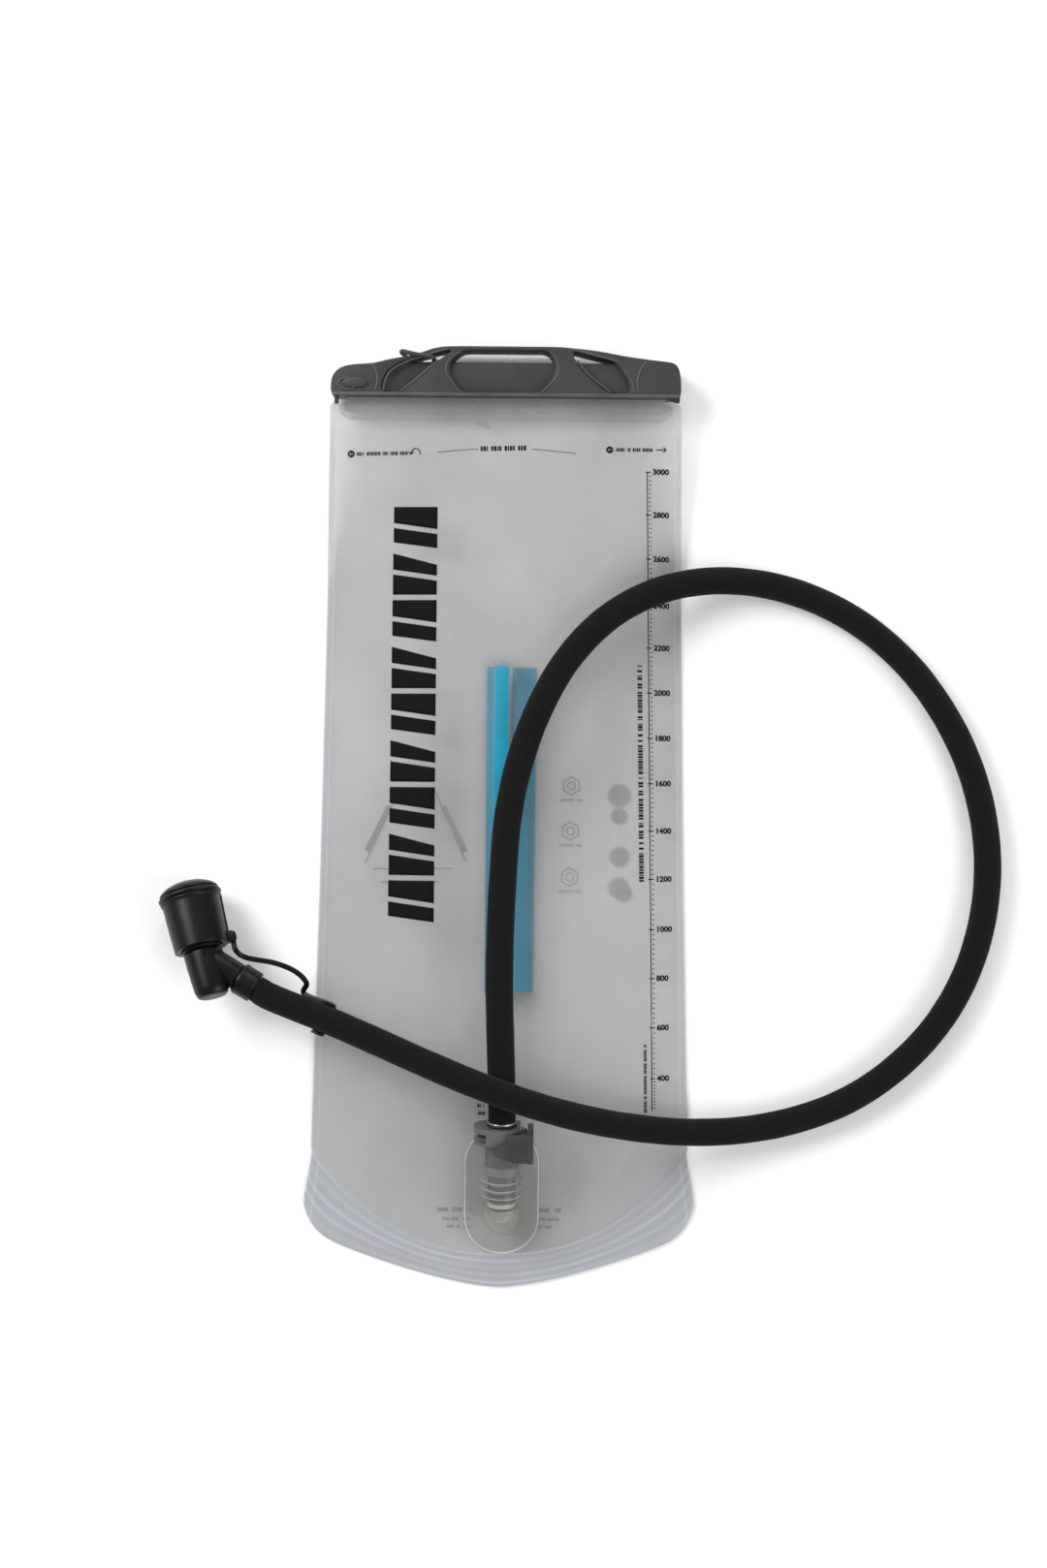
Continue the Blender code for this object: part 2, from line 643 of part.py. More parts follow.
def stadium(width, length, count=9):
    """An outline with round ends, longer along y."""
    radius = width / 2
    offset = length / 2 - radius
    return arc((0, offset), radius, 0, 180, count) + arc((0, -offset), radius, 180, 360, count)


def make_port_housing(group, cutters, axis, finish, front):
    tip, mouth = BULLET_TIP, BULLET_MOUTH
    neck = NECK_RADIUS + GAP
    dome = 10.5
    profile = [(0, mouth), (BULLET_RADIUS, mouth), (BULLET_RADIUS, tip + dome)]
    for degrees in (22, 45, 68):
        a = math.radians(degrees)
        profile.append((BULLET_RADIUS * math.cos(a), tip + dome - dome * math.sin(a)))
    profile.append((0, tip))
    housing = turned("port_housing", profile, group, finish, axis)
    under = AXIS_HEIGHT
    oval = stadium(PLATE_WIDTH, PLATE_LENGTH)
    base = plate("port_plate", [oval], under - PLATE, under, cutters, parent=axis, turn=FLAT)
    foot = box("port_foot", (-6.0, 4.0, -12.0), (6.0, under - 0.4, mouth - 1.0), cutters, parent=axis)
    chamber = BORE_RADIUS - 0.9
    bore = turned("port_bore", [(0, mouth + 1), (neck, mouth + 1), (neck, 12.0),
                                (BORE_RADIUS, 12.0), (BORE_RADIUS, SEAT - GAP), (chamber, SEAT - GAP),
                                (chamber, tip + 8.0), (3.6, tip + 4.6), (0, tip + 4.0)], cutters, parent=axis)
    below = Matrix.Translation((0, 0, INLET_AT * MM)) @ FLAT
    drain = arc((0, 0), INLET_RADIUS, 0, 345, 12)
    wider = arc((0, 0), INLET_RADIUS + 1.5, 0, 345, 12)
    inlet = plate("port_inlet", [drain], 3.0, under + 3.0, cutters, parent=axis, turn=below)
    film_hole = plate("film_inlet", [wider], under - 1, under + 3.0, cutters, parent=axis, turn=below)
    join(housing, base, foot)
    cut(housing, bore, inlet)
    cut(front, film_hole)
    return housing


def make_latch_body(group, cutters, axis, finish):
    """The grey insert in the housing's mouth: a neck and the collar that guides the latch."""
    body = ring("latch_body", BORE_RADIUS, NECK_RADIUS, 12.3, COLLAR_START + 1, group, finish, axis)
    roof = -COLLAR_HEIGHT
    outline = [(-13.4, -3.4), (-10.6, roof + 3), (-5, roof), (5, roof), (9, roof + 3.4), (9, 6), (6.4, 8.1),
               (-6.4, 8.1), (-10.6, 6.4), (-13.4, 3.4)]
    collar = plate("latch_collar", [outline], COLLAR_START, COLLAR_END, cutters, parent=axis)
    bore = round_cutter("latch_bore", BORE_RADIUS, cutters, half_height=40.0, parent=axis, steps=TURN_STEPS)
    low, high = latch_slot()
    slot = box("latch_slot", (-20, -COLLAR_HEIGHT + 1.4, low), (20, 6.4, high), cutters, parent=axis)
    join(body, collar)
    cut(body, bore, slot)
    return body


def latch_slot():
    """Where the latch's slot lies along the axis."""
    return 30.0, 33.8


def make_latch(group, cutters, parent, finish, steel):
    """The thumb latch, and the spring clip on it that holds the plug's groove."""
    low, high = latch_slot()
    thick = 2.0
    clear = BORE_RADIUS + GAP
    roof = -COLLAR_HEIGHT + 1.4 + GAP
    fork = [(-clear, 5.6), (-11.4, 5.6), (-11.4, roof + 1.6), (-9.8, roof), (13.6, roof), (13.6, 5.6)]
    fork += [(clear + LATCH_TRAVEL, 5.6)]
    fork += shifted(arc((0, 0), clear, 0, -90, 7, stretch=0.97), LATCH_TRAVEL, 0)
    fork += arc((0, 0), clear, -90, -180, 7, stretch=0.97)
    latch = plate("latch_lever", [fork], low + GAP, low + GAP + thick, group, finish, parent=parent)
    pad = box("latch_pad", (12.4, -8.0, 21.2), (15.2, 6.0, 35.4), cutters, parent=parent)
    roof_low, roof_high = -COLLAR_HEIGHT - 2.2, -COLLAR_HEIGHT - GAP - 0.1
    thumb = [(-4.0, -27.5), (2.0, -31.4), (13.0, -31.4), (13.0, -21.3), (5.5, -21.3), (-4.0, -25.4)]
    web = plate("latch_thumb", [thumb], roof_low, roof_high, cutters, parent=parent, turn=FLAT)
    rim = box("latch_rim", (12.4, roof_low - 0.2, 21.0), (15.2, -6.5, 35.4), cutters, parent=parent)
    arm = box("latch_arm", (3.0, roof_low - 0.1, 30.9), (15.0, roof_high, 35.3), cutters, parent=parent)
    join(latch, pad, web, rim, arm)
    inner, outer = PLUG_RADIUS - 1.2, BORE_RADIUS + 0.4
    crescent = arc((0, 0), inner, 228, 132, 7) + arc((0, 0), outer, 132, 228, 7)
    clip = plate("retaining_clip", [crescent], low + 2 * GAP + thick, high - GAP, group, steel, parent=parent)
    return latch, clip


def coil(turns, radius, start, length, sides=8):
    """Points along a coil round the local z axis."""
    count = int(turns * sides)
    points = []
    for i in range(count + 1):
        angle = math.tau * i / sides
        points.append((radius * math.cos(angle), radius * math.sin(angle), start + length * i / count))
    return points


def make_latch_spring(group, axis, steel):
    along_x = [(z, x, y) for x, y, z in coil(4, 1.3, 9.5, 2.3)]
    points = [(x, y, z + COLLAR_END - 1.8 - GAP) for x, y, z in along_x]
    return cord("latch_spring", points, 0.2, group, steel, axis, resolution=0)


def make_poppet(group, axis, plastic, rubber, steel, clear):
    """The stop valve that the plug holds open, its seat, seal and spring."""
    seat_outer = BORE_RADIUS - GAP
    ring("valve_seat", SEAT_HOLE, seat_outer, SEAT, SEAT + SEAT_THICKNESS, group, clear, axis)
    face = SEAT - POPPET_TRAVEL - GAP
    head = 5.7
    stem_end = BULLET_TIP + 5.4
    profile = [(0, face + POPPET_BOSS), (3.4, face + POPPET_BOSS), (3.4, face), (head - 1.5, face),
               (head - 1.5, face - 1.4), (head, face - 1.4), (head, face - 2.4), (1.6, face - 2.4),
               (1.6, stem_end), (0, stem_end)]
    turned("poppet", profile, group, plastic, axis, steps=16)
    torus("poppet_seal", head - 0.6, 0.55, face - 0.55, group, rubber, axis, steps=16, sides=6)
    start, end = BULLET_TIP + 6.2, face - 2.7 - GAP
    return cord("poppet_spring", coil(3, 2.9, start, end - start), 0.3, group, steel, axis, resolution=0)


def make_plug(group, cutters, axis, grey, rubber, steel):
    """The hose's plug: nose, two seals, the groove for the latch, a flange and the hose barb."""
    low, high = latch_slot()
    groove = (low + 2 * GAP + 2.0 - GAP, high)
    seal_groove = 5.0
    nose = SEAT + SEAT_THICKNESS + 0.6
    tip = SEAT - POPPET_TRAVEL + POPPET_BOSS + GAP
    barb_end = FLANGE_END + 12
    profile = [(1.6, barb_end), (BARB_RADIUS, barb_end), (BARB_RADIUS, FLANGE_END), (7.0, FLANGE_END),
               (7.0, COLLAR_END + GAP), (PLUG_RADIUS, COLLAR_END + GAP), (PLUG_RADIUS, groove[1]),
               (5.0, groove[1]), (5.0, groove[0]), (PLUG_RADIUS, groove[0])]
    for place in SEAL_PLACES:
        profile += [(PLUG_RADIUS, place), (seal_groove, place), (seal_groove, place - 2.0),
                    (PLUG_RADIUS, place - 2.0)]
    profile += [(PLUG_RADIUS, nose), (SEAT_HOLE - GAP, nose), (SEAT_HOLE - GAP, tip), (1.6, tip)]
    turned("plug", profile, group, grey, axis, closed=True)
    for i, place in enumerate(SEAL_PLACES, 1):
        torus(f"plug_oring_{i}", 6.05, 0.72, place - 1.0, group, rubber, axis, sides=6)
    ring("hose_ferrule", TUBE_RADIUS + GAP, 7.1, FLANGE_END + GAP, SLEEVE_START - GAP, group, steel, axis)


# Hose ----------------------------------------------------------------------------------------

def make_hose(group, axis, valve, neoprene, clear):
    """The sleeve over the drink tube, both along the same route."""
    bpy.context.view_layer.update()
    along = axis.matrix_world

    def on_port(height):
        return along @ Vector((0, 0, height * MM)) / MM

    def on_arm(reach):
        return valve.matrix_world @ (Vector((math.sin(ARM_ANGLE), 0, -math.cos(ARM_ANGLE))) * reach * MM) / MM

    middle = [on_port(SLEEVE_START), on_port(SLEEVE_START + 9), *map(Vector, ROUTE),
              on_arm(HOSE_COLLAR_END + 9), on_arm(HOSE_COLLAR_END + GAP)]
    points = [middle[0], *spline_through(middle[1:-1], HOSE_POINTS), middle[-1]]
    sleeve = cord("hose_sleeve", points, SLEEVE_RADIUS, group, neoprene, caps=False)
    hollow(sleeve, SLEEVE_WALL)
    ends = [on_port(FLANGE_END + GAP), *points, on_arm(ARM_END + GAP)]
    tube = cord("hose_tube", ends, TUBE_RADIUS, group, clear, caps=False)
    hollow(tube, TUBE_WALL)
    return points


def hollow(obj, thickness):
    solid = obj.modifiers.new("Wall", "SOLIDIFY")
    solid.thickness = thickness * MM
    solid.offset = -1.0
    solid.use_even_offset = True


# Bite valve ----------------------------------------------------------------------------------

def valve_frame(group):
    """The valve's frame where its two axes cross: z towards the mouthpiece, the arm in its x-z plane."""
    lean, dip = VALVE_LEAN, VALVE_DIP
    out = Vector((-math.sin(lean) * math.cos(dip), math.cos(lean) * math.cos(dip), -math.sin(dip)))
    level = math.cos(ARM_RISE)
    arm = Vector((math.cos(ARM_DROP) * level, -math.sin(ARM_DROP) * level, math.sin(ARM_RISE)))
    side = (arm - out * arm.dot(out)).normalized()
    return frame_at("valve_axis", group, VALVE_AT, (side, out.cross(side), out))


def arm_frame(group, valve):
    """The arm's frame: z from the valve towards the hose."""
    arm = add("arm_axis", None, group, parent=valve)
    arm.rotation_euler = (0, math.pi - ARM_ANGLE, 0)
    return arm


def make_elbow(group, cutters, valve, arm, finish):
    profile = [(0, BARREL_TOP), (BARREL_RADIUS, BARREL_TOP), (BARREL_RADIUS - 0.4, -4), (8.3, HEEL + 3.2),
               (7.4, HEEL + 0.9), (6.2, HEEL), (0, HEEL)]
    elbow = turned("valve_elbow", profile, group, finish, valve)
    bore = turned("elbow_bore", rod(SPOOL_BORE, -9.6, BARREL_TOP + 5), cutters, parent=valve)
    taper = [(0, ARM_END), (6.6, ARM_END), (6.9, 4.8), (0, 4.8)]
    branch = turned("elbow_arm", taper, cutters, parent=arm, steps=20)
    barb = turned("elbow_barb", rod(BARB_RADIUS, 6.0, ARM_END + 11), cutters, parent=arm, steps=12)
    flow = turned("elbow_flow", rod(1.5, 1.0, ARM_END + 15), cutters, parent=arm, steps=8)
    join(elbow, branch, barb)
    cut(elbow, bore, flow)
    ring("hose_collar", TUBE_RADIUS + GAP, 7.7, ARM_END + GAP, HOSE_COLLAR_END - GAP, group, finish, arm)
    return elbow


def make_twist(group, cutters, valve, black, rubber):
    """The parts that turn to shut the valve: a grip ring, the spool in the elbow, and the mouthpiece."""
    base = BARREL_TOP + GAP
    grip = BARREL_RADIUS + 0.4
    profile = [(4.0, RING_TOP + 6), (6.2, RING_TOP + 6), (6.2, RING_TOP), (grip, RING_TOP - 0.6),
               (grip, base), (4.0, base)]
    twist = turned("twist_ring", profile, group, black, valve, closed=True)
    stem = [(3.3, RING_TOP - 1), (3.7, RING_TOP - 1), (3.7, BARREL_TOP), (4.9, BARREL_TOP), (4.9, -1.2),
            (4.2, -1.2), (4.2, -3.2), (5.4, -3.2), (5.4, -8.8), (3.3, -8.8)]
    turned("shutoff_spool", stem, group, black, valve, steps=16, closed=True)
    torus("spool_oring", 4.95, 0.5, -2.2, group, rubber, valve, steps=16, sides=6)
    top, foot = MOUTH_TOP, RING_TOP + GAP
    lips = [(0, top), (7.4, top), (8.6, top - 1.6), (9.0, top - 6), (9.8, foot + 2.7), (9.4, foot),
            (6.5, foot), (6.5, top - 3.2), (0, top - 2.6)]
    mouth = turned("mouthpiece", lips, group, rubber, valve)
    slit = box("bite_slit", (-4.5, -0.25, top - 6), (4.5, 0.25, top + 2), cutters, parent=valve)
    cut(mouth, slit)
    return twist


def make_cap(group, cutters, valve, finish):
    """The dust cap: a tapering cup with a rolled rim and a domed top, and the lug for its strap."""
    low, rim, top = CAP_MOUTH, CAP_RIM, CAP_TOP
    snug = BARREL_RADIUS + 0.4 + GAP
    outer = [(0, top), (6.5, top - 0.5), (11.0, top - 2.4), (13.6, rim + 2.2), (14.6, rim + 1.6),
             (15.5, rim + 0.6), (15.5, rim - 0.6), (14.5, rim - 1.4), (14.1, rim - 3), (13.3, low)]
    inner = [(snug, low), (snug, low + 1.2), (13.3 - CAP_WALL, low + 2.4), (14.1 - CAP_WALL, rim - 3),
             (11.0, top - 4.4), (0, top - 2.4)]
    cap = turned("dust_cap", outer + inner, group, finish, valve)
    lug = box("cap_lug", (12.0, -2.6, low), (17.4, 2.6, low + 5.4), cutters, parent=valve)
    rib = box("cap_rib", (12.4, -1.0, low + 3), (14.9, 1.0, rim - 0.4), cutters, parent=valve)
    join(cap, lug, rib)
    return cap


def make_strap(group, valve, points, finish):
    """The cap's strap from its lug to a clip that grips the hose from below."""
    bpy.context.view_layer.update()
    start = valve.matrix_world @ (Vector((15.4, 0.0, CAP_MOUTH - GAP)) * MM) / MM
    toward = -(valve.matrix_world.to_3x3() @ Vector((0, 0, 1)))
    spot = points[-3]
    along = (points[-4] - points[-2]).normalized()
    side = Vector((0, 0, 1)).cross(along).normalized()
    if side.y < 0:
        side = -side
    up = along.cross(side)
    if up.z < 0:
        up = -up
    reach = SLEEVE_RADIUS + GAP + 1.4 + STRAP / 2 + GAP
    last = spot + side * reach * 0.7 - up * reach * 0.75
    route = [start, start + toward * 5 + side * 0.5, *map(Vector, STRAP_ROUTE), last]
    strap = cord("cap_strap", spline_through(route, 18), STRAP / 2, group, finish, resolution=1)
    hold = frame_at("clip_axis", group, spot, (side, up, side.cross(up)))
    inner = SLEEVE_RADIUS + GAP
    outline = arc((0, 0), inner + 1.4, 170, 370, 13) + arc((0, 0), inner, 370, 170, 13)
    plate("strap_clip", [outline], -3.0, 3.0, group, finish, parent=hold)
    return strap


def main():
    clear_scene()
    group = collection("hydration_bladder")
    cutters = collection("cutters")
    film_finish = material("film", (0.72, 0.76, 0.80), 0.45)
    grey = material("slider_grey", (0.062, 0.064, 0.067), 0.55)
    clear = material("port_clear", (0.70, 0.72, 0.70), 0.3)
    latch_grey = material("latch_grey", (0.13, 0.135, 0.135), 0.45)
    blue = material("baffle_blue", (0.12, 0.52, 0.66), 0.5)
    black = material("valve_black", (0.012, 0.012, 0.014), 0.4)
    rubber = material("rubber", (0.015, 0.015, 0.015), 0.6)
    neoprene = material("neoprene", (0.011, 0.011, 0.012), 0.9)
    steel = material("steel", (0.62, 0.62, 0.64), 0.3, 1.0)
    elastic = material("elastic_cord", (0.07, 0.072, 0.075), 0.8)

    front, _ = make_films(group, cutters, film_finish)
    make_rails(group, film_finish)
    make_baffle(group, blue)
    run = add("slider_axis", None, group)
    run.location = (0, FOLD_Y * MM, SLOT_Z * MM)
    make_slider(group, cutters, run, grey)
    make_tether(group, elastic)
    axis = port_axis(group)
    make_port_housing(group, cutters, axis, clear, front)
    make_latch_body(group, cutters, axis, latch_grey)
    make_latch(group, cutters, axis, latch_grey, steel)
    make_latch_spring(group, axis, steel)
    make_poppet(group, axis, latch_grey, rubber, steel, clear)
    make_plug(group, cutters, axis, latch_grey, rubber, steel)
    valve = valve_frame(group)
    arm = arm_frame(group, valve)
    points = make_hose(group, axis, valve, neoprene, clear)
    make_elbow(group, cutters, valve, arm, black)
    make_twist(group, cutters, valve, black, rubber)
    make_cap(group, cutters, valve, black)
    make_strap(group, valve, points, black)


main()
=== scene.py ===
"""Hydration bladder: the looks of a film reservoir with its slide closure, drink port, hose and bite valve.

The script is laid out as an add-on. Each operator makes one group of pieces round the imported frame, and
main() runs them in order. Shapes are worked out in millimetres and turned into metres by surface().
"""

import math

import bmesh
import bpy
import numpy as np
from mathutils import Matrix


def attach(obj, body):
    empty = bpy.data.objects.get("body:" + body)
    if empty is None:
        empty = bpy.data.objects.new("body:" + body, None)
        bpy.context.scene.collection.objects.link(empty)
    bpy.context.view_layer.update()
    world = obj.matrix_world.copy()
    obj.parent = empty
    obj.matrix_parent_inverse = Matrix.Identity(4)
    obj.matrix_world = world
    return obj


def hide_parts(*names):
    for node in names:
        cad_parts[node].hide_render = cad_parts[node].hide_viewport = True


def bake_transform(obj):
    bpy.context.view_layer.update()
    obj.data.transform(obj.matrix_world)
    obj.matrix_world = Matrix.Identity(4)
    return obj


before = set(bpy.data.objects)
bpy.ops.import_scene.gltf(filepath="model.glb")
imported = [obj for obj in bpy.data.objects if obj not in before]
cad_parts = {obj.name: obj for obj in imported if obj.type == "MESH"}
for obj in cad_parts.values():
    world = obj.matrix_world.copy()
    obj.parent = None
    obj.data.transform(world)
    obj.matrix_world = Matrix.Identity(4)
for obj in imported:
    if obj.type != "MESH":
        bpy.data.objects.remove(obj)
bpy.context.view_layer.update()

bl_info = {
    "name": "Hydration Bladder",
    "version": (1, 0, 0),
    "blender": (4, 5, 0),
    "location": "3D View > Sidebar > Bladder",
    "description": "Builds a film reservoir with a slide closure, a drink hose and a bite valve",
    "category": "Add Mesh",
}

MM = 0.001
TAU = 2 * math.pi

# Places shared with the frame, in millimetres
SLOT_Y = 203.9  # where the films leave the closure's slot
SLOT_Z = 12.0  # the middle of the slot
FOLD_Y = 211.9  # the line that the films fold over
SEAM_Z = 0.65  # the side welds above the floor
FLANGE = 95.2  # half the width across the bottom corners
NECK = 77.0  # half the width inside the closure
WELD_CENTRE = -210.5  # where the bottom weld starts on the bag's middle line
LAST_STRAIGHT = -146.0  # the last level row before rows bend towards the weld
PORT_SLOPE = math.radians(12.0)
PORT_RUN = 64.6  # how far up from the weld the film keeps the port's slope
CROWN_BLEND = 60.0  # how far beyond that it takes to lie level
PORT_AT = np.array([1.3, -181.9415, 18.6903])
VALVE_AT = np.array([-142.6, -67.0, 23.3])
SLIDER_HALF = 84.4
HOSE_STEPS = 520
CLIP_REACH = 9.65  # from the hose's middle to the strap's end on the clip
SLEEVE_ON_PORT = (38.9, 47.9)  # the sleeve's first two points along the port's axis
SLEEVE_ON_ARM = (29.2, 37.9)  # and its last two along the valve's arm, from the end inwards

# The films
FILM_THICKNESS = 0.5
FILM_OFF = 0.4  # each film's middle from the seam's height
FILM_RIB = 0.16  # ribs pressed in the bottom weld
WELD_SHARES = np.linspace(0.0, 1.0, 29)[1:]
WELD_RIBS = 5
LIP_ROWS = 11
PUNCHES = (-11.7, 12.3)
PUNCH_Y = SLOT_Y - 5.2
PUNCH_RADIUS = 2.3
STRIP_AT = -0.7  # the clear strip where the baffle is welded on
STRIP_HALF = 3.7

# Creases of the front film: start, end, width and depth
CREASES = (
    ((-76, 199), (-60, 150), 1.6, 0.9), ((-77, 196), (-74, 120), 1.8, 0.8),
    ((77, 198), (62, 158), 1.6, 0.8), ((76, 190), (78, 110), 2.0, 0.7),
    ((-70, -120), (-86, -40), 2.4, 0.7), ((66, -60), (84, -150), 2.4, 0.7),
    ((-40, -196), (-74, -150), 2.0, 0.5), ((42, -196), (76, -146), 2.0, 0.5),
)

# The print
INK_THICKNESS = 0.03
INK_LIFT = 0.3  # ink above the front film's middle
REAR_LIFT = 0.33  # and above the rear film's
SOFT_LAYERS = 4
FACE_SIZE = 1.36  # the built-in face's size for numerals one high
FACE_WEIGHT = 0.055  # how much bolder they are drawn
FACE_WIDTH = 1.08  # and how much wider
SCALE_TOP = 3000
SCALE_STEP = 200
SCALE_MARKS = (168.9, 148.2, 126.9, 104.3, 83.8, 62.0, 40.0, 18.0, -5.0, -28.4, -52.8, -76.6, -100.6, -125.4)

# The port, in its own frame
PLATE_TOP = 10.3
RIDGES = (9.4, 5.6, 1.8)
RIDGE_RADIUS = 9.85
BULLET_RADIUS = 9.5

# The stage, in metres: each light's name, place, diameter and power
CAMERA_HEIGHT = 1.5
VIEW_HEIGHT = 0.7656
SENSOR = 36.0
LIGHTS = (
    ("key", (-1.3, 0.9, 1.3), 1.2, 36.0),
    ("fill", (1.4, -0.7, 1.1), 1.4, 20.0),
    ("rim", (0.2, 1.9, 1.1), 1.4, 16.0),
)

# The hose from the port over the bag, round on the table and back to the bite valve
ROUTE = np.array([
    (0.8, -121.0, 31.6), (0.1, -99.0, 31.6), (-0.6, -71.3, 29.8), (0.1, -43.5, 29.2), (1.5, -15.7, 29.2),
    (4.4, 12.0, 29.2), (11.8, 38.9, 29.2), (22.8, 64.5, 28.8), (39.0, 87.4, 27.0), (61.1, 105.0, 22.5),
    (88.0, 114.9, 14.0), (116.7, 116.4, 9.0), (144.5, 110.6, 7.1), (170.1, 98.4, 7.0), (192.3, 81.0, 7.0),
    (210.4, 59.1, 7.0), (224.1, 34.4, 7.0), (232.8, 7.4, 7.0), (236.0, -20.7, 7.0), (233.3, -48.9, 7.0),
    (224.8, -75.8, 7.0), (210.3, -100.1, 7.0), (190.5, -120.4, 7.0), (166.8, -136.0, 7.0),
    (140.1, -145.6, 7.6), (112.0, -150.0, 11.0), (83.4, -149.6, 18.5), (55.2, -145.3, 29.5),
    (27.8, -138.6, 39.5), (1.2, -129.8, 44.5), (-24.7, -120.1, 42.0), (-50.3, -109.7, 36.5),
    (-76.0, -99.1, 30.5),
])
STRAP_ROUTE = np.array([
    (-122.6, -67.6, 19.0), (-109.0, -70.0, 19.5), (-99.0, -74.0, 19.5), (-93.6, -79.6, 18.0),
    (-94.6, -85.0, 16.2),
])


# Numbers and curves ----------------------------------------------------------------------------

def unit(vector):
    """The vector over its length."""
    return vector / np.linalg.norm(vector)


def smoothstep(value, low, high):
    """0 below low, 1 above high and 3s^2 - 2s^3 between them, where s is the share of the way."""
    share = np.clip((value - low) / (high - low), 0.0, 1.0)
    return share * share * (3 - 2 * share)


def fading(value, low, high):
    """1 below low, 0 above high and 1 less smoothstep between them."""
    return 1 - smoothstep(value, low, high)


def spline_through(points, count, closed=False):
    """A Catmull-Rom curve through the points, read at evenly spaced places along its length. Between b and c,
    with a before and d after, it is half of 2b + (c - a)t + (2a - 5b + 4c - d)t^2 + (3b - a - 3c + d)t^3."""
    points = np.asarray(points, float)
    if closed:
        ends = np.concatenate([points[-1:], points, points[:2]])
    else:
        ends = np.concatenate([2 * points[:1] - points[1:2], points, 2 * points[-1:] - points[-2:-1]])
    t = (np.arange(24) / 24)[None, :, None]
    a, b, c, d = (ends[i:len(ends) - 3 + i, None, :] for i in range(4))
    square, cube = 2 * a - 5 * b + 4 * c - d, 3 * b - a - 3 * c + d
    fine = 0.5 * (2 * b + (c - a) * t + square * t**2 + cube * t**3)
    fine = np.concatenate([fine.reshape(-1, points.shape[1]), ends[-2:-1]])
    return evenly(fine, count + 1)[:-1] if closed else evenly(fine, count)


def evenly(points, count):
    """The same polyline with count points at equal steps of its length."""
    length = np.concatenate([[0.0], np.cumsum(np.linalg.norm(np.diff(points, axis=0), axis=1))])
    wanted = np.linspace(0.0, length[-1], count)
    return np.stack([np.interp(wanted, length, points[:, i]) for i in range(points.shape[1])], axis=1)


def rounded(points, radius, steps=5, closed=True):
    """An outline with each corner cut by a quadratic arc that starts radius from it, or nearer where an
    edge is short: (1 - t)^2 start + 2t(1 - t) corner + t^2 end."""
    points = np.asarray(points, float)
    before, after = np.roll(points, 1, axis=0), np.roll(points, -1, axis=0)
    back, on = before - points, after - points
    far_back, far_on = (np.linalg.norm(v, axis=1)[:, None] for v in (back, on))
    start = points + back / far_back * np.minimum(radius, 0.45 * far_back)
    end = points + on / far_on * np.minimum(radius, 0.45 * far_on)
    t = np.linspace(0.0, 1.0, steps)[None, :, None]
    arcs = (1 - t) ** 2 * start[:, None] + 2 * t * (1 - t) * points[:, None] + t**2 * end[:, None]
    if not closed:
        arcs = arcs[1:-1]
        return np.concatenate([points[:1], arcs.reshape(-1, points.shape[1]), points[-1:]])
    return arcs.reshape(-1, points.shape[1])


def arc(centre, radius, start, end, count, stretch=1.0):
    """Points on an arc, angles in degrees: centre + radius (cos a, stretch sin a)."""
    angle = np.radians(np.linspace(start, end, count))
    x, y = centre[0] + radius * np.cos(angle), centre[1] + stretch * radius * np.sin(angle)
    return np.stack([x, y], axis=1)


def stadium(width, length, count=20):
    """An outline of two half circles, one at each end of its second axis."""
    radius = width / 2
    offset = length / 2 - radius
    far, near = arc((0, offset), radius, 0, 180, count), arc((0, -offset), radius, 180, 360, count)
    return np.concatenate([far, near])


def circle(radius, sides=24):
    """Points at even steps round a circle: radius (cos a, sin a)."""
    angle = np.arange(sides) * TAU / sides
    return np.stack([radius * np.cos(angle), radius * np.sin(angle)], axis=1)


def bar_outline(left, right, low, high, corner):
    """A rectangle with rounded corners, run anticlockwise."""
    return rounded([(left, low), (right, low), (right, high), (left, high)], corner)


# Frames of the sub-assemblies, as (origin, columns x, y, z) ------------------------------------

def port_frame():
    """The port's frame: x to the right, y down to the bag, z along the hose, leaning by the port's slope."""
    up = np.array([0, -math.sin(PORT_SLOPE), math.cos(PORT_SLOPE)])
    out = np.array([0, math.cos(PORT_SLOPE), math.sin(PORT_SLOPE)])
    return PORT_AT, np.stack([np.array([1.0, 0, 0]), -up, out], axis=1)


def valve_frame():
    """The valve's frame: z towards the mouthpiece and the arm in the x-z plane, from four angles: the
    mouthpiece's lean and dip and the arm's drop and rise."""
    lean, dip = math.radians(15.5), math.radians(15.0)
    drop, rise = math.radians(30.2), math.radians(3.0)
    out = np.array([-math.sin(lean) * math.cos(dip), math.cos(lean) * math.cos(dip), -math.sin(dip)])
    arm = np.array([math.cos(drop) * math.cos(rise), -math.sin(drop) * math.cos(rise), math.sin(rise)])
    side = unit(arm - out * arm.dot(out))
    return VALVE_AT, np.stack([side, np.cross(out, side), out], axis=1)


def arm_frame():
    """The arm's frame: z from the valve towards the hose, 45 degrees off the mouthpiece's line."""
    at, axes = valve_frame()
    turn = math.pi - math.radians(45.0)
    z = axes @ np.array([math.sin(turn), 0, math.cos(turn)])
    x = axes @ np.array([math.cos(turn), 0, -math.sin(turn)])
    return at, np.stack([x, np.cross(z, x), z], axis=1)


def placed(points, place):
    """Points of a frame put into the object's: each times its axes, plus its origin."""
    origin, axes = place
    return np.asarray(points, float) @ axes.T + origin


# Meshes ----------------------------------------------------------------------------------------

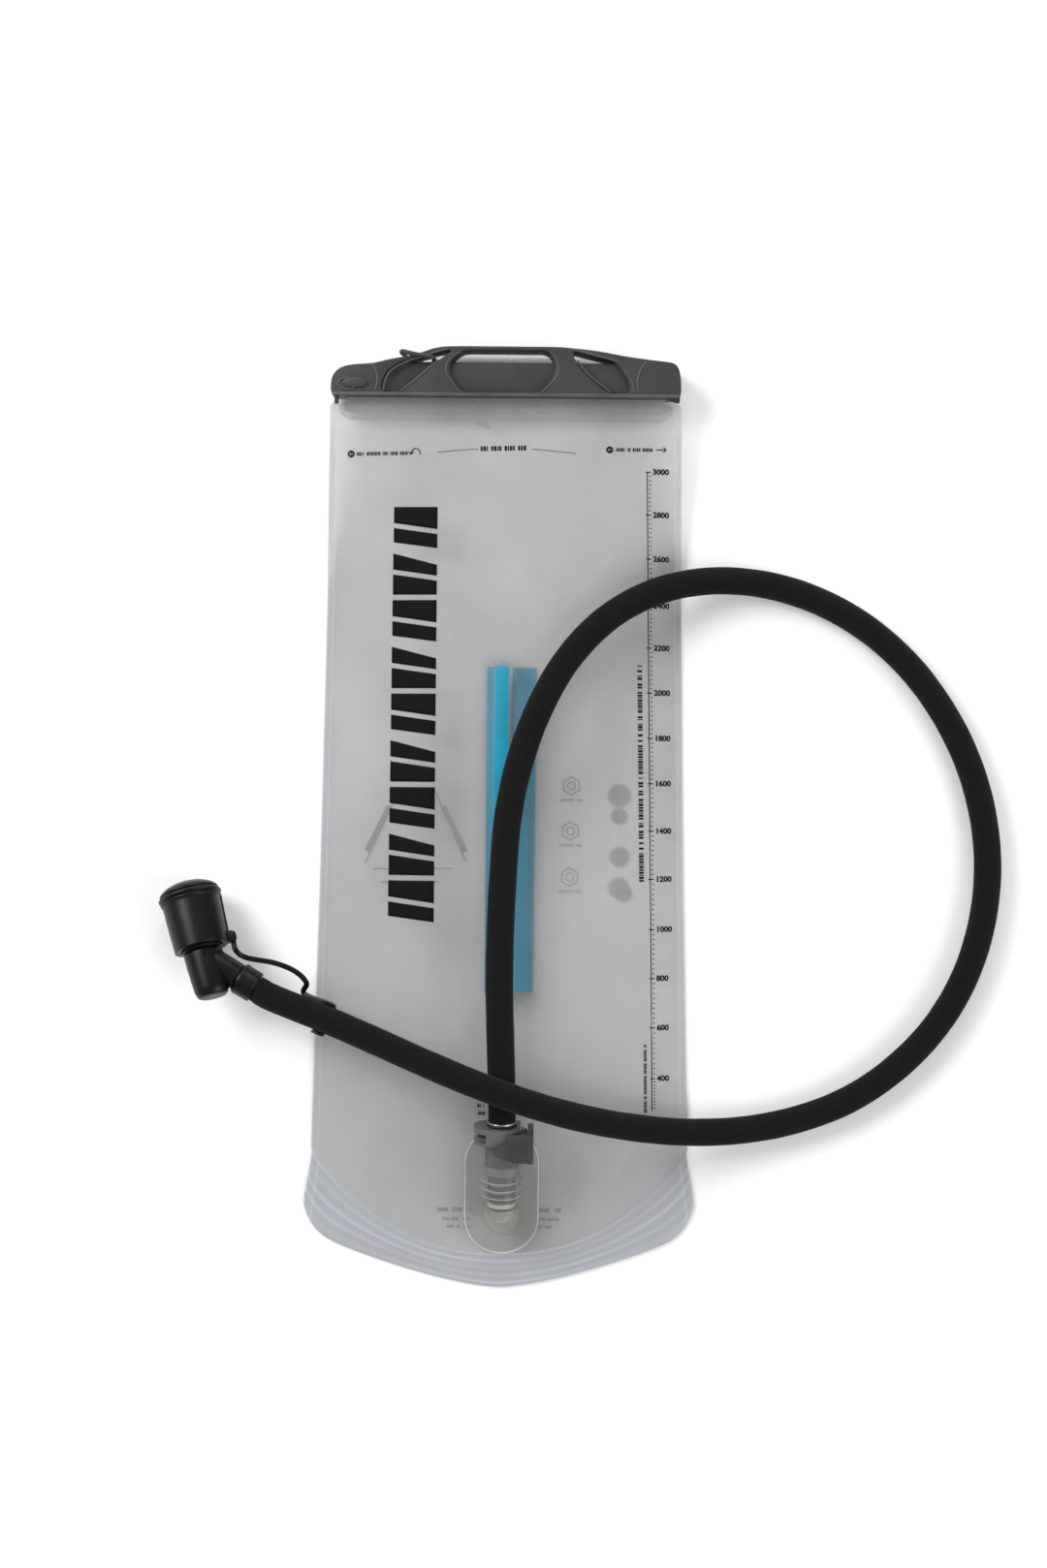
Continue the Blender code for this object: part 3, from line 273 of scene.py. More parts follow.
def surface(name, points, faces, finish, body, smooth=40.0):
    """A mesh object from points in millimetres and faces, riding on a body of the frame."""
    mesh = bpy.data.meshes.new(name)
    mesh.from_pydata((np.asarray(points) * MM).tolist(), [], [tuple(face) for face in faces])
    mesh.validate()
    mesh.shade_smooth()
    mesh.set_sharp_from_angle(angle=math.radians(smooth))
    if finish:
        mesh.materials.append(finish)
    obj = bpy.data.objects.new(name, mesh)
    bpy.context.scene.collection.objects.link(obj)
    if body:
        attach(obj, body)
    return obj


def grid_faces(rows, columns, wrap_rows=False, wrap_columns=False, first=0):
    """Quads of a grid of points stored row by row, with the last row or column joined to the first."""
    r = np.arange(rows if wrap_rows else rows - 1)[:, None]
    c = np.arange(columns if wrap_columns else columns - 1)[None, :]
    down, on = (r + 1) % rows, (c + 1) % columns
    corners = [r * columns + c, r * columns + on, down * columns + on, down * columns + c]
    quads = [np.broadcast_to(corner, (r.shape[0], c.shape[1])) for corner in corners]
    return np.stack(quads, axis=-1).reshape(-1, 4) + first


def outward(obj):
    """Faces recalculated to point outwards, after merging points that fall together."""
    form = bmesh.new()
    form.from_mesh(obj.data)
    bmesh.ops.remove_doubles(form, verts=form.verts, dist=1e-7)
    bmesh.ops.recalc_face_normals(form, faces=form.faces)
    form.to_mesh(obj.data)
    form.free()
    return obj


def lofted(name, rings, finish, body, capped=True, smooth=40.0):
    """Closed rings of points joined one to the next, with a flat face on each end ring."""
    rings = np.asarray(rings, float)
    rows, columns, _ = rings.shape
    faces = grid_faces(rows, columns, wrap_columns=True).tolist()
    if capped:
        faces.append(list(range(columns))[::-1])
        faces.append(list(range((rows - 1) * columns, rows * columns)))
    return outward(surface(name, rings.reshape(-1, 3), faces, finish, body, smooth))


def looped(name, rings, finish, body):
    """Closed rings of points joined one to the next, and the last to the first."""
    faces = grid_faces(*rings.shape[:2], wrap_rows=True, wrap_columns=True)
    return outward(surface(name, rings.reshape(-1, 3), faces, finish, body, 80.0))


def turned(name, profile, place, finish, body, steps=64, corner=0.35, smooth=40.0):
    """A closed profile of (radius, height) turned round the frame's z axis: x = r cos a, y = r sin a."""
    profile = np.asarray(profile, float)
    if corner:
        profile = rounded(profile, corner)
        profile[:, 0] = np.where(profile[:, 0] < 0.02, 0.0, profile[:, 0])
    angle = np.arange(steps) * TAU / steps
    rings = np.empty((len(profile), steps, 3))
    rings[..., 0] = profile[:, :1] * np.cos(angle)
    rings[..., 1] = profile[:, :1] * np.sin(angle)
    rings[..., 2] = profile[:, 1:]
    faces = grid_faces(len(profile), steps, wrap_rows=True, wrap_columns=True)
    return outward(surface(name, placed(rings.reshape(-1, 3), place), faces, finish, body, smooth))


def ring_of(name, inner, outer, low, high, place, finish, body, corner=0.3):
    """A plain ring between two radii and two heights."""
    profile = [(inner, low), (outer, low), (outer, high), (inner, high)]
    return turned(name, profile, place, finish, body, corner=corner)


def carried(points, section, up=(0, 0, 1), closed=False):
    """A section of (across, up) points carried along a path, each ring square to the path. A section may
    be one outline, or one for each point of the path."""
    points = np.asarray(points, float)
    if closed:
        along = np.roll(points, -1, axis=0) - np.roll(points, 1, axis=0)
    else:
        along = np.gradient(points, axis=0)
    along /= np.linalg.norm(along, axis=1)[:, None]
    across = np.cross(along, np.asarray(up, float))
    across /= np.maximum(np.linalg.norm(across, axis=1), 1e-9)[:, None]
    rise = np.cross(across, along)
    section = np.broadcast_to(np.asarray(section, float), (len(points), *np.shape(section)[-2:]))
    over, above = section[..., :1] * across[:, None], section[..., 1:] * rise[:, None]
    return points[:, None] + over + above


def slab(name, outline, low, high, to_world, finish, body, edge=0.5, smooth=35.0):
    """A flat outline given a height and rounded edges: rings of the outline, inset by edge (1 - cos a)
    and lifted by edge sin a, closed by its two faces."""
    outline = np.asarray(outline, float)
    after = np.roll(outline, -1, axis=0)
    step = after - np.roll(outline, 1, axis=0)
    area = np.sum(outline[:, 0] * after[:, 1] - after[:, 0] * outline[:, 1])
    inward = np.stack([-step[:, 1], step[:, 0]], axis=1) * np.sign(area)
    inward /= np.maximum(np.linalg.norm(inward, axis=1), 1e-9)[:, None]
    turn = np.radians([90.0, 60.0, 30.0, 0.0])
    back = turn[::-1]
    insets = np.concatenate([edge * (1 - np.cos(turn)), edge * (1 - np.cos(back))])
    lifts = np.concatenate([low + edge - edge * np.sin(turn), high - edge + edge * np.sin(back)])
    rings = np.empty((len(insets), len(outline), 3))
    rings[..., :2] = outline + inward * insets[:, None, None]
    rings[..., 2] = lifts[:, None]
    return lofted(name, to_world(rings), finish, body, smooth=smooth)


def mesh_from(drawn):
    """The filled mesh of a drawn curve or text."""
    bpy.context.scene.collection.objects.link(drawn)
    bpy.context.view_layer.update()
    graph = bpy.context.evaluated_depsgraph_get()
    return bpy.data.meshes.new_from_object(drawn.evaluated_get(graph))


def flat_plate(name, loops, low, high, finish, body, bevel=0.5):
    """Outlines with holes between two heights, edges rounded, made from a filled flat curve."""
    curve = bpy.data.curves.new(name, "CURVE")
    curve.dimensions = "2D"
    curve.fill_mode = "BOTH"
    curve.extrude = ((high - low) / 2 - bevel) * MM
    curve.bevel_depth = bevel * MM
    curve.bevel_resolution = 2
    curve.offset = -bevel * MM
    for loop in loops:
        spline = curve.splines.new("POLY")
        spline.points.add(len(loop) - 1)
        places = np.column_stack([np.asarray(loop) * MM, np.zeros(len(loop)), np.ones(len(loop))])
        spline.points.foreach_set("co", places.ravel())
        spline.use_cyclic_u = True
    drawn = bpy.data.objects.new(name, curve)
    mesh = mesh_from(drawn)
    bpy.data.objects.remove(drawn)
    mesh.transform(Matrix.Translation((0, 0, (low + high) / 2 * MM)))
    mesh.name = name
    mesh.materials.clear()
    mesh.materials.append(finish)
    obj = bpy.data.objects.new(name, mesh)
    bpy.context.scene.collection.objects.link(obj)
    outward(obj)
    mesh.shade_smooth()
    mesh.set_sharp_from_angle(angle=math.radians(35))
    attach(obj, body)
    return obj


def refined(node, name, finish, body, edge=0.25):
    """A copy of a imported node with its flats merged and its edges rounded, standing for that node."""
    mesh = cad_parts[node].data.copy()
    mesh.name = name
    form = bmesh.new()
    form.from_mesh(mesh)
    bmesh.ops.remove_doubles(form, verts=form.verts, dist=1e-6)
    bmesh.ops.dissolve_limit(form, angle_limit=math.radians(1.0), verts=form.verts, edges=form.edges)
    fold = math.radians(32)
    sharp = [e for e in form.edges if e.is_manifold and e.calc_face_angle(0.0) > fold]
    bmesh.ops.bevel(form, geom=sharp, offset=edge * MM, offset_type="OFFSET", segments=2, profile=0.5,
                    affect="EDGES", clamp_overlap=True)
    bmesh.ops.recalc_face_normals(form, faces=form.faces)
    form.to_mesh(mesh)
    form.free()
    mesh.materials.clear()
    mesh.materials.append(finish)
    mesh.shade_smooth()
    mesh.set_sharp_from_angle(angle=math.radians(50))
    obj = bpy.data.objects.new(name, mesh)
    bpy.context.scene.collection.objects.link(obj)
    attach(obj, body)
    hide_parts(node)
    return obj


def dressed(finish, *nodes):
    """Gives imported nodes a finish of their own."""
    for node in nodes:
        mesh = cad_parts[node].data
        mesh.materials.clear()
        mesh.materials.append(finish)
        mesh.polygons.foreach_set("material_index", np.zeros(len(mesh.polygons), np.int32))


# Finishes --------------------------------------------------------------------------------------

class Recipe:
    """Adds nodes to a material and joins them."""

    def __init__(self, name):
        self.material = bpy.data.materials.get(name) or bpy.data.materials.new(name)
        self.material.use_nodes = True
        self.tree = self.material.node_tree
        self.tree.nodes.clear()
        self.shader = self.add("ShaderNodeBsdfPrincipled")
        self.join(self.shader.outputs[0], self.add("ShaderNodeOutputMaterial").inputs["Surface"])

    def add(self, kind, **values):
        """A new node with its settings."""
        node = self.tree.nodes.new(kind)
        for key, value in values.items():
            setattr(node, key, value)
        return node

    def join(self, a, b):
        """A link from an output to an input."""
        self.tree.links.new(a, b)

    def set(self, **values):
        """Constants put directly on the shader's inputs, named with _ for a space."""
        for key, value in values.items():
            self.shader.inputs[key.replace("_", " ")].default_value = value

    def noise(self, scale, detail=3.0, rough=0.55):
        """Noise on the object's own coordinates, in features of about 1 / scale metres."""
        where = self.add("ShaderNodeTexCoord")
        noise = self.add("ShaderNodeTexNoise")
        for key, number in (("Scale", scale), ("Detail", detail), ("Roughness", rough)):
            noise.inputs[key].default_value = number
        self.join(where.outputs["Object"], noise.inputs["Vector"])
        return noise.outputs["Fac"]

    def ranged(self, value, low, high, start=0.35, end=0.65):
        """The value's stretch from start to end, spread evenly from low to high."""
        node = self.add("ShaderNodeMapRange")
        limits = (("From Min", start), ("From Max", end), ("To Min", low), ("To Max", high))
        for key, number in limits:
            node.inputs[key].default_value = number
        self.join(value, node.inputs["Value"])
        return node.outputs[0]

    def mixed(self, share, a, b):
        """A colour between a and b by share; a and b are colours or outputs."""
        node = self.add("ShaderNodeMix", data_type="RGBA")
        self.join(share, node.inputs["Factor"])
        for socket, value in ((node.inputs[6], a), (node.inputs[7], b)):
            if isinstance(value, bpy.types.NodeSocket):
                self.join(value, socket)
            else:
                socket.default_value = (*value[:3], 1.0)
        return node.outputs[2]

    def maths(self, operation, a, b):
        """The operation on a and b, which are numbers or outputs."""
        node = self.add("ShaderNodeMath", operation=operation)
        for socket, value in zip(node.inputs, (a, b)):
            if isinstance(value, bpy.types.NodeSocket):
                self.join(value, socket)
            else:
                socket.default_value = value
        return node.outputs[0]

    def attribute(self, name):
        """A share that the mesh holds for each point."""
        return self.add("ShaderNodeAttribute", attribute_name=name).outputs["Fac"]

    def bump(self, height, distance, below=None):
        """Relief of a height up to distance millimetres, over another relief if there is one."""
        node = self.add("ShaderNodeBump")
        node.inputs["Strength"].default_value = 1.0
        node.inputs["Distance"].default_value = distance * MM
        self.join(height, node.inputs["Height"])
        if below:
            self.join(below, node.inputs["Normal"])
        return node.outputs[0]


def shades(colour, by):
    """The colour made lighter or darker by a factor, never past 1."""
    return tuple(min(1.0, c * by) for c in colour[:3])


def moulded(name, colour, rough, spark=1500.0, depth=0.02, spread=0.15, shine=0.3):
    """Moulded plastic: a fine spark-eroded grain, slow drift of shade and small changes of gloss."""
    mix = Recipe(name)
    drift = mix.noise(45.0, 2.0)
    dark, light = shades(colour, 1 - spread), shades(colour, 1 + spread)
    mix.join(mix.mixed(mix.ranged(drift, 0.0, 1.0), dark, light), mix.shader.inputs["Base Color"])
    grain = mix.noise(spark, 2.0)
    gloss = mix.ranged(grain, rough * 0.85, min(1.0, rough * 1.15))
    mix.join(gloss, mix.shader.inputs["Roughness"])
    mix.join(mix.bump(grain, depth), mix.shader.inputs["Normal"])
    mix.set(Specular_IOR_Level=shine)
    return mix


def clear_plastic(name, colour, alpha, rough=0.2):
    """Milky moulded plastic that lets what is behind it show."""
    mix = moulded(name, colour, rough, spark=500.0, depth=0.01, spread=0.05, shine=0.5)
    mix.set(Alpha=alpha, IOR=1.49)
    return mix.material


def film_finish(colours):
    """Frosted film: a fine haze, faint clouds, paler welds, painted shade on the lip and its edge, and clear
    where the baffle is welded on.
    """
    mix = Recipe("frosted film")
    cloud = mix.ranged(mix.noise(14.0, 3.0, 0.6), 0.0, 1.0, 0.3, 0.7)
    body = mix.mixed(cloud, shades(colours.film, 0.9), shades(colours.film, 1.1))
    weld, crest, shade = (mix.attribute(key) for key in ("weld", "crest", "shade"))
    # Painted shade: where shade is set the colour goes towards a quarter of the film's, darkening the lip and
    # its edge, and the film there is made less clear.
    tint = mix.mixed(shade, body, shades(colours.film, 0.25))
    tint = mix.mixed(weld, tint, colours.weld)
    mix.join(mix.mixed(crest, tint, colours.crest), mix.shader.inputs["Base Color"])
    haze = mix.ranged(cloud, 0.25, 0.31, 0.0, 1.0)
    for mark, more in ((weld, 0.16), (crest, 0.1), (shade, 0.3)):
        haze = mix.maths("ADD", haze, mix.maths("MULTIPLY", mark, more))
    haze = mix.maths("MULTIPLY", haze, mix.attribute("hazy"))
    mix.join(haze, mix.shader.inputs["Alpha"])
    grain = mix.noise(900.0, 3.0)
    mix.join(mix.ranged(grain, 0.38, 0.5), mix.shader.inputs["Roughness"])
    swell = mix.bump(mix.noise(30.0, 2.0), 0.25)
    mix.join(mix.bump(grain, 0.02, below=swell), mix.shader.inputs["Normal"])
    return mix.material


def ink_finish(name, colour, alpha=1.0):
    """Matt printing ink, or a thin veil of it where alpha is low."""
    mix = moulded(name, colour, 0.75, spark=2500.0, depth=0.004, spread=0.1)
    mix.set(Alpha=alpha, Specular_IOR_Level=0.1)
    return mix.material


def knit_finish(colour):
    """Brushed knit over foam: short fibres that catch light over a fine mesh of loops."""
    mix = Recipe("brushed knit")
    fibre = mix.noise(2600.0, 4.0, 0.7)
    patch = mix.noise(160.0, 3.0)
    tips = mix.ranged(fibre, 0.0, 1.0, 0.45, 0.72)
    speck = mix.mixed(tips, shades(colour, 0.7), shades(colour, 2.6))
    wear_and_highlight = mix.mixed(mix.ranged(patch, 0.0, 0.5), speck, shades(colour, 1.5))
    mix.join(wear_and_highlight, mix.shader.inputs["Base Color"])
    mix.join(mix.ranged(fibre, 0.85, 1.0), mix.shader.inputs["Roughness"])
    mix.set(Sheen_Weight=0.04, Sheen_Roughness=0.5, Specular_IOR_Level=0.1)
    loops = mix.bump(mix.noise(900.0, 2.0), 0.12)
    mix.join(mix.bump(fibre, 0.08, below=loops), mix.shader.inputs["Normal"])
    return mix.material


def steel_finish():
    """Bright spring steel."""
    mix = moulded("bright steel", (0.62, 0.62, 0.64), 0.28, spark=2000.0, depth=0.004, spread=0.05)
    mix.set(Metallic=1.0)
    return mix.material


# Shape of the films ----------------------------------------------------------------------------

def half_width(y):
    """Half the bag's width: straight pieces between knots, drawn in to the neck below the closure."""
    knee = SLOT_Y - 3.4
    knots, shares = [WELD_CENTRE + 50.0, -35.0, 80.0, knee], [0.965, 0.933, 0.911, 0.893]
    side = FLANGE * np.interp(y, knots, shares)
    share = smoothstep(y, knee, SLOT_Y - 1.2)
    return side * (1 - share) + NECK * share


def bottom_edge(u):
    """The bag's lowest line: it rises by |u|^1.5, and by |u|^22 to round off the corners."""
    return -228.0 + 27.1 * np.abs(u) ** 1.5 + 12.7 * np.abs(u) ** 22


def weld_line(u):
    """Where the bottom weld starts: it rises from the middle by |u|^2.4."""
    return WELD_CENTRE + 50.0 * np.abs(u) ** 2.4


def seam_height(y):
    """The side welds' height: on the floor, then up by smoothstep to the closure's slot."""
    return SEAM_Z + (SLOT_Z + 0.8 - SEAM_Z) * smoothstep(y, 100.0, SLOT_Y - 2)


def bulge(u):
    """Across the bag: (1 - |u|^2.6)^0.9, nothing at the side welds."""
    return np.maximum(0.0, 1 - np.minimum(1.0, np.abs(u) / 0.965) ** 2.6) ** 0.9


def crown(y, u):
    """A ramp up from the bottom weld under the port, bent level by a parabola, fading to the closure."""
    along = np.maximum(0.0, y - weld_line(u))
    past = np.clip(along - PORT_RUN, 0.0, CROWN_BLEND)
    level = past - past * past / (2 * CROWN_BLEND)
    rise = math.tan(PORT_SLOPE) * (np.minimum(along, PORT_RUN) + level)
    return rise * bulge(u) * fading(y, 100.0, SLOT_Y - 2)


def belly(y, u):
    """How far the rear film sags from the seam's height back to the floor, where the seam rises."""
    return (seam_height(y) - SEAM_Z) * bulge(u) * fading(y, 130.0, SLOT_Y - 4)


def crease(x, y, start, end, width, depth):
    """A soft valley along a line: depth e^(-(d / width)^2), fading at both ends of the line."""
    start, end = np.array(start, float), np.array(end, float)
    along = end - start
    t = ((x - start[0]) * along[0] + (y - start[1]) * along[1]) / (along @ along)
    off = ((x - start[0]) * along[1] - (y - start[1]) * along[0]) / np.linalg.norm(along)
    return -depth * np.exp(-(off / width) ** 2) * np.clip(4 * t * (1 - t), 0, 1)


def wrinkle(x, y):
    """Low folds of the front film: two slow waves, each a product or sum of sines, and the creases. They
    fade out over the port, at the side welds, at the closure and at the bottom weld."""
    wave = 0.35 * np.sin(x / 17.0 + y / 41.0) * np.sin(y / 29.0 - x / 60.0)
    wave = wave + 0.18 * np.sin(x / 9.0 - y / 23.0)
    folds = sum(crease(x, y, *line) for line in CREASES)
    above = smoothstep(y, -150.0, -95.0)
    beside = smoothstep(np.abs(x), 24.0, 40.0) * (1 - above)
    u = np.abs(x) / half_width(y)
    ends = fading(y, 184.0, 196.0) * smoothstep(y - weld_line(u), 2.0, 14.0)
    return (wave + folds) * (above + beside) * fading(u, 0.86, 0.96) * ends


def front_height(x, y, u):
    """The front film: the seam's height, half the gap, a slight lift at the neck, the crown and folds."""
    neck = 0.05 * smoothstep(y, SLOT_Y - 12, SLOT_Y - 3)
    return seam_height(y) + FILM_OFF + neck + crown(y, u) + wrinkle(x, y)


def rear_height(x, y, u):
    """The rear film: the seam's height less half the gap and the belly. It has no folds, so x isn't used."""
    return seam_height(y) - FILM_OFF - belly(y, u)


def on_front(points, lift):
    """Points of the plane put on the front film, with their lift above it."""
    x, y = points[..., 0], points[..., 1]
    return np.stack([x, y, front_height(x, y, x / half_width(y)) + lift], axis=-1)


def on_rear(points, lift):
    """Points of the plane put on the rear film, with their lift above it."""
    x, y = points[..., 0], points[..., 1]
    return np.stack([x, y, rear_height(x, y, x / half_width(y)) + lift], axis=-1)


def closure_rows(radius, slot, pinch, lip):
    """Rows of (y, z, half width) from the rounded lip up the back of the rails, over them in a half circle
    and down the front: radius is the fold's, slot and pinch narrow the film in the closure's slot."""
    rows = []
    for share in np.linspace(0.0, 1.0, 9):
        y = SLOT_Y - lip + share * (lip - 1.5)
        corner = 7.0 * (1 - math.sqrt(max(0.0, 1 - (1 - share) ** 2)))
        spread = 6.0 * fading(y, SLOT_Y - 3.4, SLOT_Y - 1.5)
        rows.append((y, -slot - 0.75 - 0.5 * (SLOT_Y - 1.5 - y), NECK - 1.0 + spread - corner))
    narrow, full = SLOT_Y + pinch, SLOT_Y + pinch + 2.6
    rows += [(SLOT_Y, -slot, NECK), (narrow, -slot, NECK), (full, -radius, NECK)]
    for a in np.linspace(0.0, math.pi, 13):
        rows.append((FOLD_Y + radius * math.sin(a), -radius * math.cos(a), NECK))
    return rows + [(full, radius, NECK), (narrow, slot, NECK), (SLOT_Y - 1.0, slot, NECK)]


def film_columns():
    """Shares u across the bag from -1 to 1, closer together at the side welds and over the port."""
    edges = [np.linspace(-1, -0.93, 12), np.linspace(-0.93, 0.93, 105), np.linspace(0.93, 1, 12)]
    return np.unique(np.round(np.concatenate([*edges, np.linspace(-0.2, 0.2, 49)]), 4))


def film_grid(u, closure, height, rib):
    """Rows of points (u times the half width, y, height): lip and fold, body, then the bottom weld, where
    the half width grows to the flange and ribs rise by rib sin^2 of five half turns."""
    rows = [np.stack([u * w, np.full_like(u, y), np.full_like(u, SLOT_Z + z)], axis=1) for y, z, w in closure]
    neck = np.linspace(SLOT_Y - 3.0, SLOT_Y - 16, 10)
    body = np.linspace(SLOT_Y - 18, LAST_STRAIGHT, 120)
    for y in np.concatenate([neck, body]):
        x = u * half_width(y)
        rows.append(np.stack([x, np.full_like(u, y), height(x, y, u)], axis=1))
    for share in np.linspace(0.08, 1.0, 14):
        y = LAST_STRAIGHT + (weld_line(u) - LAST_STRAIGHT) * share
        x = u * half_width(y)
        rows.append(np.stack([x, y, height(x, y, u)], axis=1))
    low = half_width(LAST_STRAIGHT)
    for share in WELD_SHARES:
        y = weld_line(u) + (bottom_edge(u) - weld_line(u)) * share
        x = u * (low + (FLANGE - low) * smoothstep(share, 0, 1))
        rise = rib * np.sin(share * math.pi * WELD_RIBS) ** 2 * (share < 0.99)
        rows.append(np.stack([x, y, height(x, y, u) + rise], axis=1))
    return np.stack(rows)


def punched(points, faces, columns):
    """Opens a round hole in the lip at each punch: moves the points near its edge onto a circle, in place,
    and gives the faces that stay."""
    in_lip = np.arange(len(points)) < LIP_ROWS * columns
    on_lip = (points[faces].mean(axis=1)[:, 2] < SLOT_Z) & (faces.max(axis=1) < LIP_ROWS * columns)
    keep = np.ones(len(faces), bool)
    for x in PUNCHES:
        away = points[:, :2] - (x, PUNCH_Y)
        far = np.linalg.norm(away, axis=1)
        low = (points[:, 2] < SLOT_Z - 1) & (points[:, 1] > SLOT_Y - 12) & in_lip
        near = low & (far > 1.5) & (far < 3.0)
        points[near, :2] = (x, PUNCH_Y) + away[near] / far[near][:, None] * PUNCH_RADIUS
        middle = np.linalg.norm(points[faces].mean(axis=1)[:, :2] - (x, PUNCH_Y), axis=1)
        keep &= ~(on_lip & (middle < 2.1))
    return faces[keep]


def film_marks(points, u, first_body, front):
    """The shares that the film's finish reads: weld and crest along the pressed edges, shade, a painted shade
    that darkens the lip and its edge, and hazy, which drops where the baffle is welded on and a little under
    the closure."""
    rows = len(points) // len(u)
    v = np.repeat(np.arange(rows), len(u))
    body = v >= first_body
    side = 1 - np.abs(np.tile(u, rows))
    x, y = points[:, 0], points[:, 1]
    share = np.clip((v - (rows - len(WELD_SHARES)) + 1) / len(WELD_SHARES), 0, 1)
    weld = np.maximum(0.85 * smoothstep(share, 0.0, 0.12), 0.35 * (side < 0.034) * body)
    uneven = 0.35 + 0.2 * np.sin(x / 23.0 + 9 * share)
    crest = uneven * np.sin(share * math.pi * WELD_RIBS) ** 8 * (share > 0)
    lines = 0.4 * np.exp(-((side - 0.036) / 0.004) ** 2) + 0.5 * np.exp(-(side / 0.004) ** 2)
    crest = np.clip(crest + lines * body, 0, 1)
    # Painted shade on the lip: its rows are darkened a little, and its last two rows, the edge, fully.
    shade = 0.22 * (v < 10) + 0.78 * (v < 2)
    hazy = 1 - 0.3 * smoothstep(y, 184.0, 192.0)
    if front:
        strip = fading(np.abs(x - STRIP_AT), STRIP_HALF - 0.6, STRIP_HALF + 0.6)
        inside = strip * smoothstep(y, -86.0, -83.0) * fading(y, 74.0, 75.5)
        glow = fading(np.abs(x - 4.0), 10.0, 17.0)
        around = glow * smoothstep(y, -96.0, -84.0) * fading(y, 70.0, 82.0)
        hazy = hazy * np.minimum(1 - 0.96 * inside, 1 - 0.7 * around)
    return {"weld": weld, "crest": crest, "shade": shade, "hazy": hazy}


def film(name, node, closure, height, finish, front):
    """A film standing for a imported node: its grid, its punched lip and its thickness."""
    u = film_columns()
    grid = film_grid(u, closure, height, FILM_RIB if front else 0.0)
    points = grid.reshape(-1, 3)
    faces = punched(points, grid_faces(len(grid), len(u))[:, ::-1], len(u))
    obj = surface(name, points, faces, finish, "reservoir", smooth=80.0)
    for key, value in film_marks(points, u, len(closure), front).items():
        layer = obj.data.attributes.new(key, "FLOAT", "POINT")
        layer.data.foreach_set("value", np.asarray(value, np.float32))
    solid = obj.modifiers.new("Film", "SOLIDIFY")
    solid.thickness = FILM_THICKNESS * MM
    solid.offset = 0.0
    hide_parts(node)
    return obj


# Ink -------------------------------------------------------------------------------------------

def patch(corners, across=1, along=1):
    """A four-cornered patch as a grid: (a(1 - s) + bs)(1 - t) + (d(1 - s) + cs)t for corners a to d."""
    a, b, c, d = np.asarray(corners, float)
    s = np.linspace(0, 1, across + 1)[None, :, None]
    t = np.linspace(0, 1, along + 1)[:, None, None]
    return (a * (1 - s) + b * s) * (1 - t) + (d * (1 - s) + c * s) * t


def stroke(start, end, width, along=1):
    """A straight line of ink with square ends."""
    start, end = np.asarray(start, float), np.asarray(end, float)
    off = (end - start)[::-1] * (-1, 1) / np.linalg.norm(end - start) * width / 2
    return patch([start - off, start + off, end + off, end - off], 1, along)


def ribbon(points, width, closed=False):
    """A line of ink of even width along a path."""
    points = np.asarray(points, float)
    if closed:
        points = np.concatenate([points, points[:1]])
    along = np.gradient(points, axis=0)
    if closed:
        along[0] = along[-1] = points[1] - points[-2]
    off = along[:, ::-1] * (-1, 1) / np.linalg.norm(along, axis=1)[:, None] * width / 2
    return np.stack([points - off, points + off], axis=1)


def disc(centre, radius):
    """A round dot as a grid of rings, its middle ring nearly closed."""
    ring = circle(1.0, 24)
    ring = np.concatenate([ring, ring[:1]])
    return np.asarray(centre, float) + ring[None] * np.array([0.001, radius])[:, None, None]


def printed(name, grids, finish, extra=None, lift=INK_LIFT, to_film=on_front):
    """Ink patches laid on a film and given a thin body; extra is (points, faces) of numerals."""
    points, faces, first = [], [], 0
    for grid in grids:
        rows, columns, _ = grid.shape
        points.append(to_film(grid.reshape(-1, 2), lift))
        faces += grid_faces(rows, columns, first=first).tolist()
        first += rows * columns
    if extra is not None:
        points.append(to_film(extra[0], lift))
        faces += [[corner + first for corner in face] for face in extra[1]]
    obj = surface(name, np.concatenate(points), faces, finish, "reservoir", smooth=60.0)
    form = bmesh.new()
    form.from_mesh(obj.data)
    bmesh.ops.remove_doubles(form, verts=form.verts, dist=1e-6)
    down = [face for face in form.faces if face.normal.z < 0]
    bmesh.ops.reverse_faces(form, faces=down)
    form.to_mesh(obj.data)
    form.free()
    body = obj.modifiers.new("Ink", "SOLIDIFY")
    body.thickness = INK_THICKNESS * MM
    body.offset = 1.0
    return obj


def numerals(texts):
    """(points, faces) in the plane of numbers set in the built-in face: (text, x, y, height) each."""
    points, faces, first = [], [], 0
    for text, x, y, height in texts:
        curve = bpy.data.curves.new("numeral", "FONT")
        curve.body = text
        curve.size = FACE_SIZE * height
        curve.offset = FACE_WEIGHT * height
        curve.resolution_u = 3
        curve.align_y = "CENTER"
        drawn = bpy.data.objects.new("numeral", curve)
        mesh = mesh_from(drawn)
        flat = np.empty(len(mesh.vertices) * 3, np.float32)
        mesh.vertices.foreach_get("co", flat)
        points.append(flat.reshape(-1, 3)[:, :2].astype(float) * (FACE_WIDTH, 1.0) + (x, y))
        faces += [[v + first for v in face.vertices] for face in mesh.polygons]
        first += len(mesh.vertices)
        bpy.data.objects.remove(drawn)
        bpy.data.meshes.remove(mesh)
    return np.concatenate(points), faces


